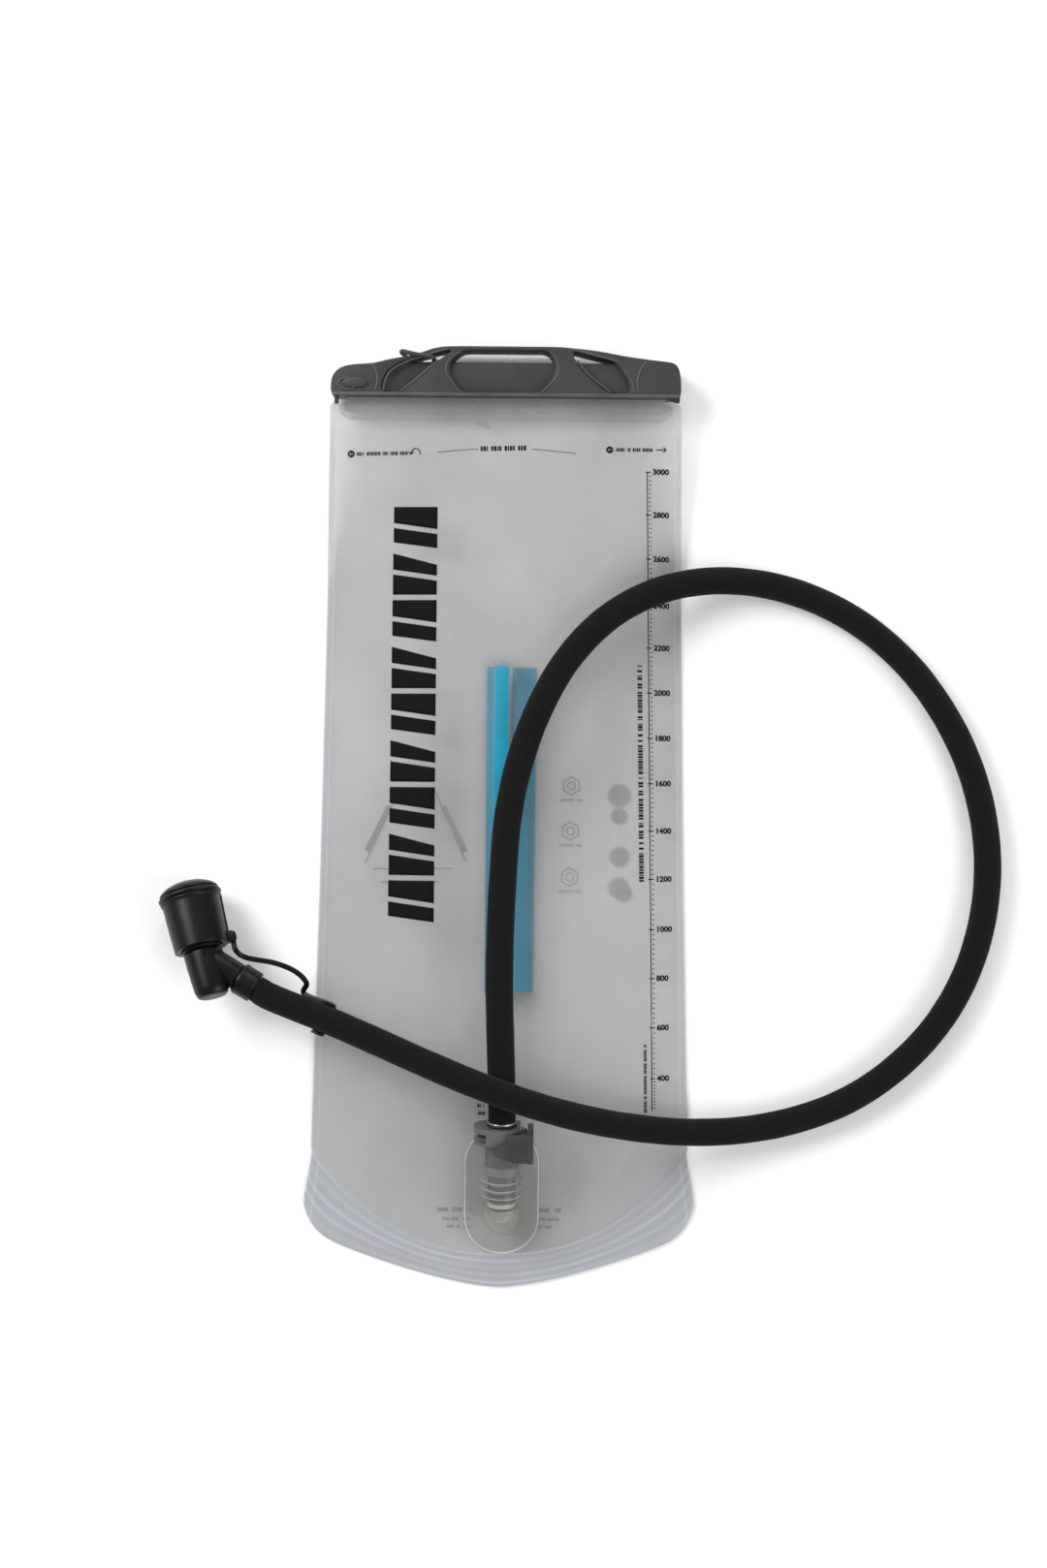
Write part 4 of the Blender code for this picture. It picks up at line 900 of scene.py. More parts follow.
def run_of_blocks(start, end, height, words=(5, 7, 3, 6)):
    """Plain upright blocks along a line, spaced out as words are: what small print looks like from afar."""
    start, end = np.asarray(start, float), np.asarray(end, float)
    span = np.linalg.norm(end - start)
    along = (end - start) / span
    up = np.array([-along[1], along[0]]) * height / 2
    pitch = 0.78 * height
    grids, at, turn, left = [], 0.0, 0, words[0]
    while at + 0.5 * pitch < span:
        if left == 0:
            turn += 1
            left = words[turn % len(words)]
            at += 0.7 * pitch
            continue
        wide = pitch * (0.58, 0.3, 0.66, 0.5)[(turn * 3 + left) % 4]
        low, high = start + along * at, start + along * min(at + wide, span)
        grids.append(patch([low - up, high - up, high + up, low + up]))
        at += wide + 0.22 * pitch
        left -= 1
    return grids


def scale_x(y):
    """Where the fill scale's line stands: it leans a little to the right towards the port."""
    return 68.7 + (168.7 - y) * 0.0175


def scale_marks():
    """The fill scale: its line, a numbered mark every 200 ml and nine fine marks between."""
    top, foot = SCALE_MARKS[0], -141.0
    grids = [stroke((scale_x(top), top), (scale_x(foot), foot), 0.45, 90)]
    texts = []
    lows = (*SCALE_MARKS[1:], SCALE_MARKS[-1] - 16.0)
    for i, (y, low) in enumerate(zip(SCALE_MARKS, lows)):
        x = scale_x(y)
        grids.append(stroke((x - 0.9, y), (x + 1.7, y), 0.55))
        texts.append((str(SCALE_TOP - SCALE_STEP * i), x + 2.6, y, 2.7))
        for fine in np.linspace(y, low, 11)[1:-1]:
            grids.append(stroke((x + 0.9, fine), (x + 2.0, fine), 0.4))
    return grids, texts


def top_marks():
    """The line of dots for the fill limit, two numbered discs, plain bars and two arrows."""
    grids = []
    for share in np.linspace(0, 1, 47):
        x = -32.6 + 66.1 * share
        if not -13.0 < x < 13.2:
            grids.append(disc((x, 177.4 + 2.2 * math.sin(math.pi * share)), 0.36))
    grids += run_of_blocks((-12.0, 179.3), (12.4, 179.9), 2.3, (3, 4, 4))
    for centre in ((-74.7, 176.4), (50.4, 179.4)):
        grids.append(ribbon(arc(centre, 1.25, 0, 350, 24), 0.9, closed=True))
    grids += run_of_blocks((-71.9, 176.4), (-47.2, 176.8), 1.7, (4, 7, 3))
    grids += run_of_blocks((53.4, 179.5), (71.8, 179.6), 1.7, (5, 2, 4))
    grids.append(ribbon(arc((-43.4, 176.0), 2.3, 175, 5, 12, 1.35), 0.5))
    arrows = (
        ((-45.7, 176.2), (-46.9, 177.7), 1), ((-45.7, 176.2), (-44.6, 177.7), 1),
        ((72.8, 179.7), (77.8, 179.7), 2), ((77.8, 179.7), (76.4, 180.9), 1),
        ((77.8, 179.7), (76.4, 178.5), 1),
    )
    return grids + [stroke(start, end, 0.5, steps) for start, end, steps in arrows]


def column_blocks():
    """Nine plain slanted bars up the left of the film: a generic stripe in place of lettering."""
    grids = []
    edges = np.linspace(152.0, -51.0, 10)
    for i, (top, low) in enumerate(zip(edges, edges[1:])):
        top, low = top - 1.3, low + 1.3
        left, right = -53.6 - 0.006 * (152 - top), -32.5
        slant = 5.5 if i % 2 else -5.5
        mid, foot = (top + low) / 2, low - min(slant, 0) * 0.5
        upper = [(left, top), (right, top - max(slant, 0)), (right, mid - 0.8), (left, mid + 2.2)]
        lower = [(left, mid - 0.2), (right, mid - 3.2), (right, low), (left, foot)]
        grids += [patch(upper, 8, 6), patch(lower, 8, 6)]
    return grids


def small_bars():
    """Runs of plain blocks where small print runs: up beside the scale and above the port."""
    grids = []
    for low, high, off, height, words in ((-29.5, 76.0, 4.4, 2.3, (11, 1, 1, 3, 2, 8, 2, 2, 1)),
                                          (-142.0, -108.5, 3.2, 1.5, (7, 2, 11, 6))):
        start, end = (scale_x(low) - off, low), (scale_x(high) - off, high)
        grids += run_of_blocks(start, end, height, words)
    for y, words in ((-138.2, (2,)), (-141.9, (5, 7, 3, 6))):
        grids += run_of_blocks((-10.6, y), (-6.7, y), 1.7, words)
    return grids


def rear_marks():
    """Faint marks on the rear film: three hexagon badges, a peak of plain lines and rows of bars."""
    grids = []
    for x, y in ((33.6, 16.6), (33.3, -5.4), (33.1, -27.9)):
        grids.append(ribbon(arc((x, y), 4.4, 30, 330, 6), 0.75, closed=True))
        grids.append(ribbon(arc((x, y), 1.9, 0, 330, 12), 0.65, closed=True))
        grids += run_of_blocks((x - 5.4, y - 7.0), (x + 5.4, y - 7.0), 1.5, (9,))
    grids += [stroke((-50.7, 13.5), (-66.8, -22.0), 0.6), stroke((-32.9, 13.7), (-17.6, -20.9), 0.6)]
    grids += [stroke((-63.0, -24.6), (-24.1, -24.2), 0.6), stroke((-58.8, -31.1), (-30.6, -30.9), 0.6)]
    grids += [stroke((-55.0, 6.0), (-66.0, -16.0), 2.6), stroke((-29.0, 6.0), (-18.0, -16.0), 2.6)]
    for y, runs in ((-190.6, ((-30.1, -24.0), (-22.8, -12.8), (19.6, 26.0), (27.4, 31.2))),
                    (-195.1, ((-27.7, -19.0), (-17.8, -12.7), (19.0, 29.5))),
                    (-198.8, ((-25.3, -18.6), (-17.2, -12.7), (19.0, 21.4), (22.6, 26.4)))):
        for left, right in runs:
            grids += run_of_blocks((left, y), (right, y), 2.1 if y > -192 else 1.5)
    grids += run_of_blocks((-6.4, -202.9), (9.8, -202.8), 1.6, (12,))
    return grids


def soft_marks(size):
    """Badges on the rear film's outer side, which show through the haze as clouds: one of their layers."""
    spots = ((57.1, 12.0, 5.0), (57.1, 2.0, 3.6), (57.4, -17.8, 4.4), (57.0, -33.0, 4.6), (59.6, -35.6, 3.6))
    return [disc((x, y), radius * size) for x, y, radius in spots]


# Settings --------------------------------------------------------------------------------------

def colour_of(name, description, default):
    """A colour for the panel."""
    return bpy.props.FloatVectorProperty(
        name=name, description=description, default=default, subtype="COLOR", size=3, min=0.0, max=1.0)


def length_for(name, description, default):
    """A length for the panel, in metres."""
    return bpy.props.FloatProperty(
        name=name, description=description, default=default, unit="LENGTH", subtype="DISTANCE", min=0.0)


class BladderColours(bpy.types.PropertyGroup):
    """Colours of the bladder's materials."""

    film: colour_of("Film", "Frosted film of the bag", (0.5, 0.505, 0.51))
    weld: colour_of("Weld", "Pressed film along the edges", (0.5, 0.52, 0.56))
    crest: colour_of("Weld ribs", "Raised lines in the welds", (0.7, 0.73, 0.78))
    ink: colour_of("Ink", "Print on the film", (0.004, 0.004, 0.004))
    baffle: colour_of("Baffle", "Webs inside the bag", (0.0, 0.27, 0.42))
    slider: colour_of("Slide closure", "Slide closure and its tether", (0.034, 0.035, 0.0355))
    latch: colour_of("Latch", "Latch, its collar and the hose plug", (0.1, 0.101, 0.099))
    clear: colour_of("Port", "Milky plastic of the port", (0.62, 0.62, 0.58))
    knit: colour_of("Sleeve", "Knit sleeve of the hose", (0.005, 0.005, 0.005))
    valve: colour_of("Valve", "Bite valve, dust cap and strap", (0.0022, 0.0022, 0.003))
    floor: colour_of("Floor", "Floor under the bag", (0.93, 0.93, 0.93))


class BladderSizes(bpy.types.PropertyGroup):
    """Sizes of the bladder's details."""

    sleeve: length_for("Sleeve diameter", "Outside of the hose's knit sleeve", 0.0134)
    strap_width: length_for("Strap width", "Width of the dust cap's strap", 0.0026)
    tether: length_for("Tether diameter", "Elastic cord on the closure's handle", 0.0022)


def colours():
    """The colours in the panel."""
    return bpy.context.scene.bladder_colours


def sizes():
    """The sizes in the panel."""
    return bpy.context.scene.bladder_sizes


# Operators -------------------------------------------------------------------------------------

class AddCamera(bpy.types.Operator):
    """Add the camera straight above the bag"""

    bl_idname = "bladder.add_camera"
    bl_label = "Camera"

    def execute(self, context):
        data = bpy.data.cameras.new("camera")
        data.sensor_fit = "VERTICAL"
        data.sensor_height = SENSOR
        data.lens = SENSOR * CAMERA_HEIGHT / VIEW_HEIGHT
        camera = bpy.data.objects.new("camera", data)
        context.scene.collection.objects.link(camera)
        camera.location = (0.01017, 0.01734, CAMERA_HEIGHT)
        camera.rotation_euler = (0.0, 0.0, math.radians(0.53))
        context.scene.camera = camera
        return {"FINISHED"}


class AddStage(bpy.types.Operator):
    """Add the floor and the soft lights"""

    bl_idname = "bladder.add_stage"
    bl_label = "Stage"

    def execute(self, context):
        mix = Recipe("floor")
        drift = mix.ranged(mix.noise(3.0, 2.0), 0.0, 1.0)
        tone = mix.mixed(drift, shades(colours().floor, 0.995), colours().floor)
        mix.join(tone, mix.shader.inputs["Base Color"])
        mix.set(Roughness=0.9, Specular_IOR_Level=0.1)
        side, under = 3000.0, -0.35
        corners = [(-side, -side, under), (side, -side, under), (side, side, under), (-side, side, under)]
        floor = surface("floor", corners, [(0, 1, 2, 3)], mix.material, None)
        world = bpy.data.worlds.new("studio")
        world.use_nodes = True
        sky = world.node_tree.nodes["Background"]
        sky.inputs["Color"].default_value = (1.0, 1.0, 1.0, 1.0)
        sky.inputs["Strength"].default_value = 0.4
        context.scene.world = world
        for name, place, size, power in LIGHTS:
            light = bpy.data.lights.new(name, "AREA")
            light.shape = "DISK"
            light.size = size
            light.energy = power
            lamp = bpy.data.objects.new(name, light)
            context.scene.collection.objects.link(lamp)
            lamp.location = place
            x, y, z = place
            tilt, turn = math.atan2(math.hypot(x, y), z), math.atan2(-y, -x) - math.pi / 2
            lamp.rotation_euler = (tilt, 0.0, turn)
        context.scene.view_settings.view_transform = "Standard"
        return {"FINISHED"}


class AddFilms(bpy.types.Operator):
    """Add the bag's two films with their fold, welds and rails"""

    bl_idname = "bladder.add_films"
    bl_label = "Films"

    def execute(self, context):
        finish = film_finish(colours())
        front = closure_rows(radius=3.7, slot=1.2, pinch=1.7, lip=10.2)
        rear = closure_rows(radius=2.9, slot=0.4, pinch=2.9, lip=6.8)
        film("front_film", "front_panel", front, front_height, finish, True)
        film("rear_film", "rear_panel", rear, rear_height, finish, False)
        rails = clear_plastic("rail plastic", colours().clear, 0.6, 0.35)
        for node in ("mouth_rail_front", "mouth_rail_back"):
            refined(node, node.replace("mouth_", "") + "_strip", rails, "reservoir")
        return {"FINISHED"}


class AddBaffle(bpy.types.Operator):
    """Add the blue webs that hook the films together"""

    bl_idname = "bladder.add_baffle"
    bl_label = "Baffle"

    def execute(self, context):
        mix = moulded("baffle film", colours().baffle, 0.4, spark=700.0, depth=0.01, spread=0.1)
        for node, name in (("baffle_front_web", "front_web"), ("baffle_rear_web", "rear_web")):
            refined(node, name, mix.material, "reservoir", 0.15)
        return {"FINISHED"}


class AddPrint(bpy.types.Operator):
    """Add the fill scale and the plain marks printed on the films"""

    bl_idname = "bladder.add_print"
    bl_label = "Print"

    def execute(self, context):
        ink = ink_finish("ink", colours().ink)
        marks, texts = scale_marks()
        printed("fill_scale", marks, ink, numerals(texts))
        steps = numerals([("1", -75.2, 176.4, 1.7), ("2", 49.8, 179.4, 1.7)])
        printed("top_marks", top_marks(), ink, steps)
        printed("stripe_blocks", column_blocks(), ink)
        printed("small_bars", small_bars(), ink)
        faint = ink_finish("ink on the rear film", colours().ink, 0.95)
        printed("rear_marks", rear_marks(), faint, lift=REAR_LIFT, to_film=on_rear)
        softer = ink_finish("ink under haze", colours().ink, 0.09)
        for layer in range(SOFT_LAYERS):
            clouds, lift = soft_marks(1.15 - 0.25 * layer), REAR_LIFT + 0.08 * layer
            printed(f"soft_mark_{layer + 1}", clouds, softer, lift=lift, to_film=on_rear)
        return {"FINISHED"}


def closure_outlines():
    """The closure's front outline and its three windows, as shares of its half length and heights above
    its underside."""
    left = [(-1.0, 0.0), (-1.0, 7.0), (-0.985, 10.4), (-0.955, 12.9), (-0.92, 14.2), (-0.86, 15.0),
            (-0.752, 15.6), (-0.675, 17.4), (-0.513, 19.9), (-0.429, 22.7)]
    top = [(-0.358, 23.9), (-0.245, 24.1), (0.3, 24.1)]
    right = [(0.429, 23.2), (0.54, 22.05), (0.695, 19.6), (0.85, 18.0), (0.96, 17.0), (0.99, 14.0),
             (1.0, 7.0), (1.0, 0.0)]
    one = [(-0.3, 22.1), (-0.37, 18.3), (-0.43, 14.3), (-0.5, 10.3), (-0.58, 1.9), (-0.715, 1.9),
           (-0.71, 7.3), (-0.68, 12.0), (-0.6, 16.6), (-0.5, 18.2), (-0.42, 20.4), (-0.36, 21.8)]
    two = [(-0.242, 22.3), (-0.31, 17.9), (-0.33, 12.3), (-0.3, 7.8), (-0.25, 1.9), (0.19, 1.9),
           (0.25, 7.3), (0.285, 12.3), (0.275, 17.9), (0.235, 22.3)]
    three = [(0.374, 22.2), (0.42, 21.3), (0.5, 19.7), (0.62, 17.3), (0.665, 12.0), (0.7, 7.3),
             (0.71, 1.9), (0.58, 1.9), (0.47, 9.8), (0.42, 14.3), (0.39, 18.3)]
    loops = [left + top + right, one, two, three]
    return [rounded(np.array(loop) * (SLIDER_HALF, 1.0) + (0, SLOT_Y), 3.0, 4) for loop in loops]


def run_along_x(section, stations, shrink):
    """Rings of a (y, z) section, one at each station of x: middle + (section - middle)(1 - shrink)."""
    section = np.asarray(section, float)
    middle = section.mean(axis=0)
    rings = np.empty((len(stations), len(section), 3))
    rings[..., 0] = np.asarray(stations)[:, None]
    rings[..., 1:] = middle + (section - middle) * (1 - np.asarray(shrink))[:, None, None]
    return rings


class AddClosure(bpy.types.Operator):
    """Add the slide closure with its handle, ribs and catch"""

    bl_idname = "bladder.add_closure"
    bl_label = "Slide closure"

    def execute(self, context):
        mix = moulded("closure plastic", colours().slider, 0.5, spark=900.0, depth=0.03, spread=0.12)
        finish = mix.material
        face = flat_plate("closure_handle", closure_outlines(), 3.0, 21.0, finish, "slider", 0.55)
        low, high, wall, reach = 5.85, 18.15, 1.8, 62.4
        bars = {
            "channel_wall_1": bar_outline(204.4, 220.4, low, low + wall, 0.7),
            "channel_wall_2": bar_outline(204.4, 220.4, high - wall, high, 0.7),
            "channel_roof": bar_outline(217.2, 220.6, 5.9, 18.1, 1.2),
        }
        for name, section in bars.items():
            rings = run_along_x(section, np.linspace(-reach, reach, 9), np.zeros(9))
            lofted(name, rings, finish, "slider")
        # The rib lips, the ledge and the catch's rim get a lighter copy of the closure's plastic: a painted
        # highlight on their lit edges.
        light = shades(colours().slider, 1.9)
        wear_and_highlight = moulded("closure rib painted highlight", light, 0.45, spark=900.0, depth=0.03).material
        self.add_beads(wear_and_highlight)
        refined("catch_pad", "catch", finish, "slider", 0.4)
        # The catch's rim is drawn in the same painted-highlight finish.
        rim = rounded(arc((-81.2 + 4.6, SLOT_Y + 5.6), 4.9, 0, 300, 6, 0.62), 1.2)
        way = np.column_stack([rim, np.full(len(rim), 21.1)])
        looped("catch_rim", carried(way, circle(0.5, 10), closed=True), wear_and_highlight, "slider")
        self.add_corners(finish)
        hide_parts("slider")
        return {"FINISHED"}

    def add_beads(self, finish):
        """Thin raised lips along the flared ribs and the lobes, and the lower ledge, all in the lighter
        finish that paints a highlight on their lit edges.
        A lip's radius is 0.55 sin(a)^0.3, so that it thins out at both ends."""
        paths = [
            [(-0.7, 2.4), (-0.69, 7.0), (-0.655, 12.0), (-0.57, 16.2), (-0.47, 19.0), (-0.4, 21.2),
             (-0.33, 22.6)],
            [(-0.275, 2.4), (-0.31, 6.5), (-0.345, 12.0), (-0.325, 17.6), (-0.262, 21.4)],
            [(0.205, 2.4), (0.265, 7.0), (0.3, 12.2), (0.288, 17.8), (0.25, 21.6)],
            [(0.73, 2.4), (0.72, 7.0), (0.685, 12.4), (0.64, 17.0), (0.52, 19.9), (0.43, 21.9), (0.37, 23.0)],
            [(-0.6, 2.2), (-0.5, 9.0), (-0.44, 13.6), (-0.39, 17.4)],
            [(0.6, 2.2), (0.49, 9.4), (0.44, 13.8), (0.405, 17.6)],
            [(-0.745, 2.4), (-0.735, 8.0), (-0.745, 12.6), (-0.775, 15.2)],
            [(0.755, 2.4), (0.75, 8.0), (0.765, 13.0), (0.8, 17.4)],
        ]
        size = 0.55 * np.sin(np.linspace(0.12, 0.88, 40) * math.pi) ** 0.3
        section = circle(1.0, 10)[None] * size[:, None, None]
        for i, path in enumerate(paths, 1):
            way = spline_through([(x * SLIDER_HALF, SLOT_Y + h, 20.95) for x, h in path], 40)
            lofted(f"rib_lip_{i}", carried(way, section), finish, "slider")
        ledge = bar_outline(203.7, 205.5, 20.2, 21.7, 0.45)
        stations = [-83.9, -83.5, -82.5, 82.5, 83.5, 83.9]
        rings = run_along_x(ledge, stations, [0.5, 0.2, 0, 0, 0.2, 0.5])
        lofted("closure_ledge", rings, finish, "slider")

    def add_corners(self, finish):
        """The tab at the left end and the film guide at the right, both hanging below the ledge."""
        half = SLIDER_HALF
        tab = bar_outline(-0.98 * half, -0.955 * half, 199.9, 205, 0.8)
        slab("closure_tab", tab, 17.0, 19.4, np.array, finish, "slider", 0.3)
        left, right = half - 8, half - 0.6
        guide = [(left, 203.9), (half - 2.4, 201.5), (right, 201.5), (right, 205), (left, 205)]
        slab("closure_guide", rounded(guide, 0.9), 17.6, 20.0, np.array, finish, "slider", 0.3)


class AddTether(bpy.types.Operator):
    """Add the elastic tether looped round the handle and through the lip"""

    bl_idname = "bladder.add_tether"
    bl_label = "Tether"

    def execute(self, context):
        radius = sizes().tether / MM / 2
        mix = moulded("elastic cord", colours().slider, 0.55, spark=1400.0, depth=0.03)
        (gap_x, gap_y), (over_x, over_y) = (-35.1, 222.2), (-49.8, 225.0)
        back, face = 2.1, 22.4
        route = [
            (gap_x, gap_y, face - 2.6), (gap_x - 1.5, gap_y + 0.3, face),
            (gap_x - 9, gap_y + 1.4, face + 0.6), (over_x, over_y, face - 0.6),
            (over_x - 0.6, over_y + 0.4, SLOT_Z),
            (over_x + 1.5, over_y - 0.6, back - 0.1), (over_x + 12, SLOT_Y + 6, back - 0.2),
            (-24.7, SLOT_Y - 2, back - 0.2), (-15.2, SLOT_Y - 5.4, back + 0.6),
            (-11.7, SLOT_Y - 5.2, SLOT_Z - 6.2), (-11.1, SLOT_Y - 6.8, SLOT_Z - 2.0),
            (-9.9, SLOT_Y - 10.4, SLOT_Z - 2.4), (-9.1, SLOT_Y - 13.2, SLOT_Z - 6.0),
            (-10.3, SLOT_Y - 12.4, back + 0.2), (-14.9, SLOT_Y - 9.2, back - 0.2),
            (gap_x + 14, SLOT_Y + 3, back - 0.2), (gap_x + 4, SLOT_Y + 11, back - 0.2),
            (gap_x + 0.6, gap_y - 1.4, back), (gap_x, gap_y, back + 3.0),
        ]
        way = spline_through(route, 220, closed=True)
        rings = carried(way, circle(radius, 16), up=(0.35, 0.2, 0.4), closed=True)
        cord = looped("tether_cord", rings, mix.material, None)
        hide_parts("slider_tether")
        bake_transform(cord)
        return {"FINISHED"}


def flat_to(place):
    """Gives the map that lays an outline in a frame's x and -z, with heights along y, in the object."""

    def move(rings):
        return placed(np.stack([rings[..., 0], rings[..., 2], -rings[..., 1]], axis=-1), place)

    return move


def upright_to(place):
    """Gives the map that stands an outline in a frame's x and z, with its width along y, in the object."""

    def move(rings):
        return placed(np.stack([rings[..., 0], rings[..., 2], rings[..., 1]], axis=-1), place)

    return move


class AddPort(bpy.types.Operator):
    """Add the port's plate, bullet, latch and hose plug"""

    bl_idname = "bladder.add_port"
    bl_label = "Port"

    def execute(self, context):
        place = port_frame()
        clear = colours().clear
        milky = clear_plastic("port plastic", shades(clear, 0.85), 0.1, 0.12)
        rim = clear_plastic("port rim", shades(clear, 1.3), 0.45, 0.2)
        thin = clear_plastic("port plate plastic", shades(clear, 1.2), 0.07, 0.25)
        foot = PLATE_TOP - 1.3
        plate = slab("port_plate", stadium(36.6, 64.6, 28), foot, PLATE_TOP, flat_to(place), thin,
                     "reservoir", 0.4)
        loop = stadium(35.6, 63.6, 28)
        way = placed(np.column_stack([loop[:, 0], np.full(len(loop), foot), loop[:, 1]]), place)
        rings = carried(way, circle(0.28, 10), up=place[1] @ np.array([0, -1.0, 0]), closed=True)
        looped("port_plate_rim", rings, rim, "reservoir")
        bullet = self.add_bullet(place, milky)
        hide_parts("port_housing")
        self.add_latch()
        self.dress_inside()
        return {"FINISHED"}

    def add_bullet(self, place, milky):
        """The bullet, its tip and ridges, turned; the domes are ellipses (9.5 cos a, 10.5 sin a) outside and
        (8.7 cos a, 9.2 sin a) inside."""
        clear = colours().clear
        angle = np.radians([0, 11, 22, 34, 45, 57, 68, 80])
        dome = np.stack([BULLET_RADIUS * np.cos(angle), -8.0 - 10.5 * np.sin(angle)], axis=1)
        outer = [(8.25, 17.0), (BULLET_RADIUS, 16.6)]
        for height in RIDGES:
            outer += [(BULLET_RADIUS, height + 0.6), (RIDGE_RADIUS, height + 0.3),
                      (RIDGE_RADIUS, height - 0.3), (BULLET_RADIUS, height - 0.6)]
        outer += dome.tolist() + [(0.0, -18.5)]
        inner = [(0.0, -14.5), (3.6, -13.9), (6.2, -10.5), (6.2, -4.3), (7.1, -4.3), (7.1, 12.0),
                 (8.25, 12.2)]
        bullet = turned("port_bullet", outer + inner, place, milky, "reservoir", corner=0.25)
        core = clear_plastic("port tip plastic", clear, 0.2, 0.2)
        tip = np.stack([8.7 * np.cos(angle), -8.4 - 9.2 * np.sin(angle)], axis=1).tolist()
        hollow = [(0.0, -17.6), (0.0, -14.6), (3.7, -14.0), (6.3, -10.6)]
        turned("port_tip", [(6.3, -5.0), (8.7, -5.0), *tip, *hollow], place, core, "reservoir", corner=0.2)
        faded = clear_plastic("port ridge plastic", shades(clear, 1.4), 0.16, 0.2)
        for height in RIDGES:
            ring_of(f"port_ridge_{int(height)}", 9.2, 9.9, height - 0.2, height + 0.2, place, faded,
                    "reservoir", 0.15)
        return bullet

    def add_latch(self):
        """The collar, the thumb latch and the hose's plug."""
        grey = colours().latch
        collar = moulded("latch plastic", grey, 0.38, spark=1100.0, depth=0.02, spread=0.12)
        refined("latch_body", "latch_collar", collar.material, "reservoir", 0.3)
        thumb = moulded("thumb latch plastic", shades(grey, 0.5), 0.35, spark=1100.0)
        refined("latch_lever", "thumb_latch", thumb.material, "latch", 0.35)
        plug = moulded("plug plastic", shades(grey, 0.25), 0.35)
        refined("plug", "hose_plug", plug.material, "hose", 0.2)
        dressed(plug.material, "poppet")

    def dress_inside(self):
        """Finishes of the seat, seals and springs inside the port."""
        dressed(clear_plastic("seat plastic", (0.6, 0.6, 0.57), 0.5, 0.3), "valve_seat")
        seal = moulded("pale seal", (0.1, 0.1, 0.095), 0.45)
        dressed(seal.material, "plug_oring_1", "plug_oring_2")
        dressed(steel_finish(), "latch_spring", "poppet_spring", "retaining_clip")
        rubber = moulded("seal rubber", (0.02, 0.02, 0.02), 0.6)
        dressed(rubber.material, "poppet_seal", "spool_oring")


def hose_points():
    """The sleeve's centreline: straight off the plug, through the route and straight onto the valve."""
    port, arm = port_frame(), arm_frame()
    on_port = [placed((0, 0, height), port) for height in SLEEVE_ON_PORT]
    on_arm = [placed((0, 0, reach), arm) for reach in SLEEVE_ON_ARM]
    middle = np.concatenate([[on_port[1]], ROUTE, [on_arm[1]]])
    return np.concatenate([[on_port[0]], spline_through(middle, 36), [on_arm[0]]])


class AddHose(bpy.types.Operator):
    """Add the hose in its knit sleeve with the rings at its ends"""

    bl_idname = "bladder.add_hose"
    bl_label = "Hose"

    def execute(self, context):
        way = spline_through(hose_points(), HOSE_STEPS)
        run = np.concatenate([[0], np.cumsum(np.linalg.norm(np.diff(way, axis=0), axis=1))])
        rings = carried(way, self.sleeve_sections(run))
        sleeve = lofted("knit_sleeve", rings, knit_finish(colours().knit), "hose", smooth=60.0)
        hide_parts("hose_sleeve")
        dressed(clear_plastic("tube plastic", (0.6, 0.62, 0.62), 0.6), "hose_tube")
        place = port_frame()
        ring = ring_of("hose_ring", 5.1, 7.1, 37.8, 38.5, place, steel_finish(), "hose", 0.2)
        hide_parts("hose_ferrule")
        dark = moulded("end band", colours().valve, 0.5)
        ring_of("end_band", 5.1, 6.75, 38.5, 39.4, place, dark.material, "hose", 0.2)
        return {"FINISHED"}

    def sleeve_sections(self, run):
        """Circles of the sleeve's radius, drawn in by 6 per cent e^(-(d / 1.6)^2) at both ends and uneven
        by a twentieth of a millimetre, as two products of sines along the run and round it."""
        left = np.minimum(run, run[-1] - run)
        pucker = 1 - 0.06 * np.exp(-(left / 1.6) ** 2)
        turn = np.arange(28) * TAU / 28
        soft = 0.05 * np.sin(run[:, None] / 3.7 + 2 * turn) * np.sin(run[:, None] / 11.0)
        size = (sizes().sleeve / MM / 2 * pucker)[:, None] - 0.05 + soft
        return np.stack([size * np.cos(turn), size * np.sin(turn)], axis=-1)


def petal(z, angle, radius):
    """A recess on the barrel, a pointed leaf from the cap down to the heel: the radius less 1.15 inside half
    the leaf's width, which is 0.62 sin(a)^0.8 down its length, by smoothstep at its edge."""
    share = np.clip((2.0 - z) / 16.5, 0, 1)
    half = 0.62 * np.sin(np.clip(share * 1.02 + 0.28, 0, 1) * math.pi) ** 0.8
    middle = math.radians(-62) + 0.42 * share
    off = np.abs((angle - middle + math.pi) % TAU - math.pi)
    return radius - 1.15 * fading(off, half - 0.12, half + 0.03) * (z < 2.2) * (share < 1)


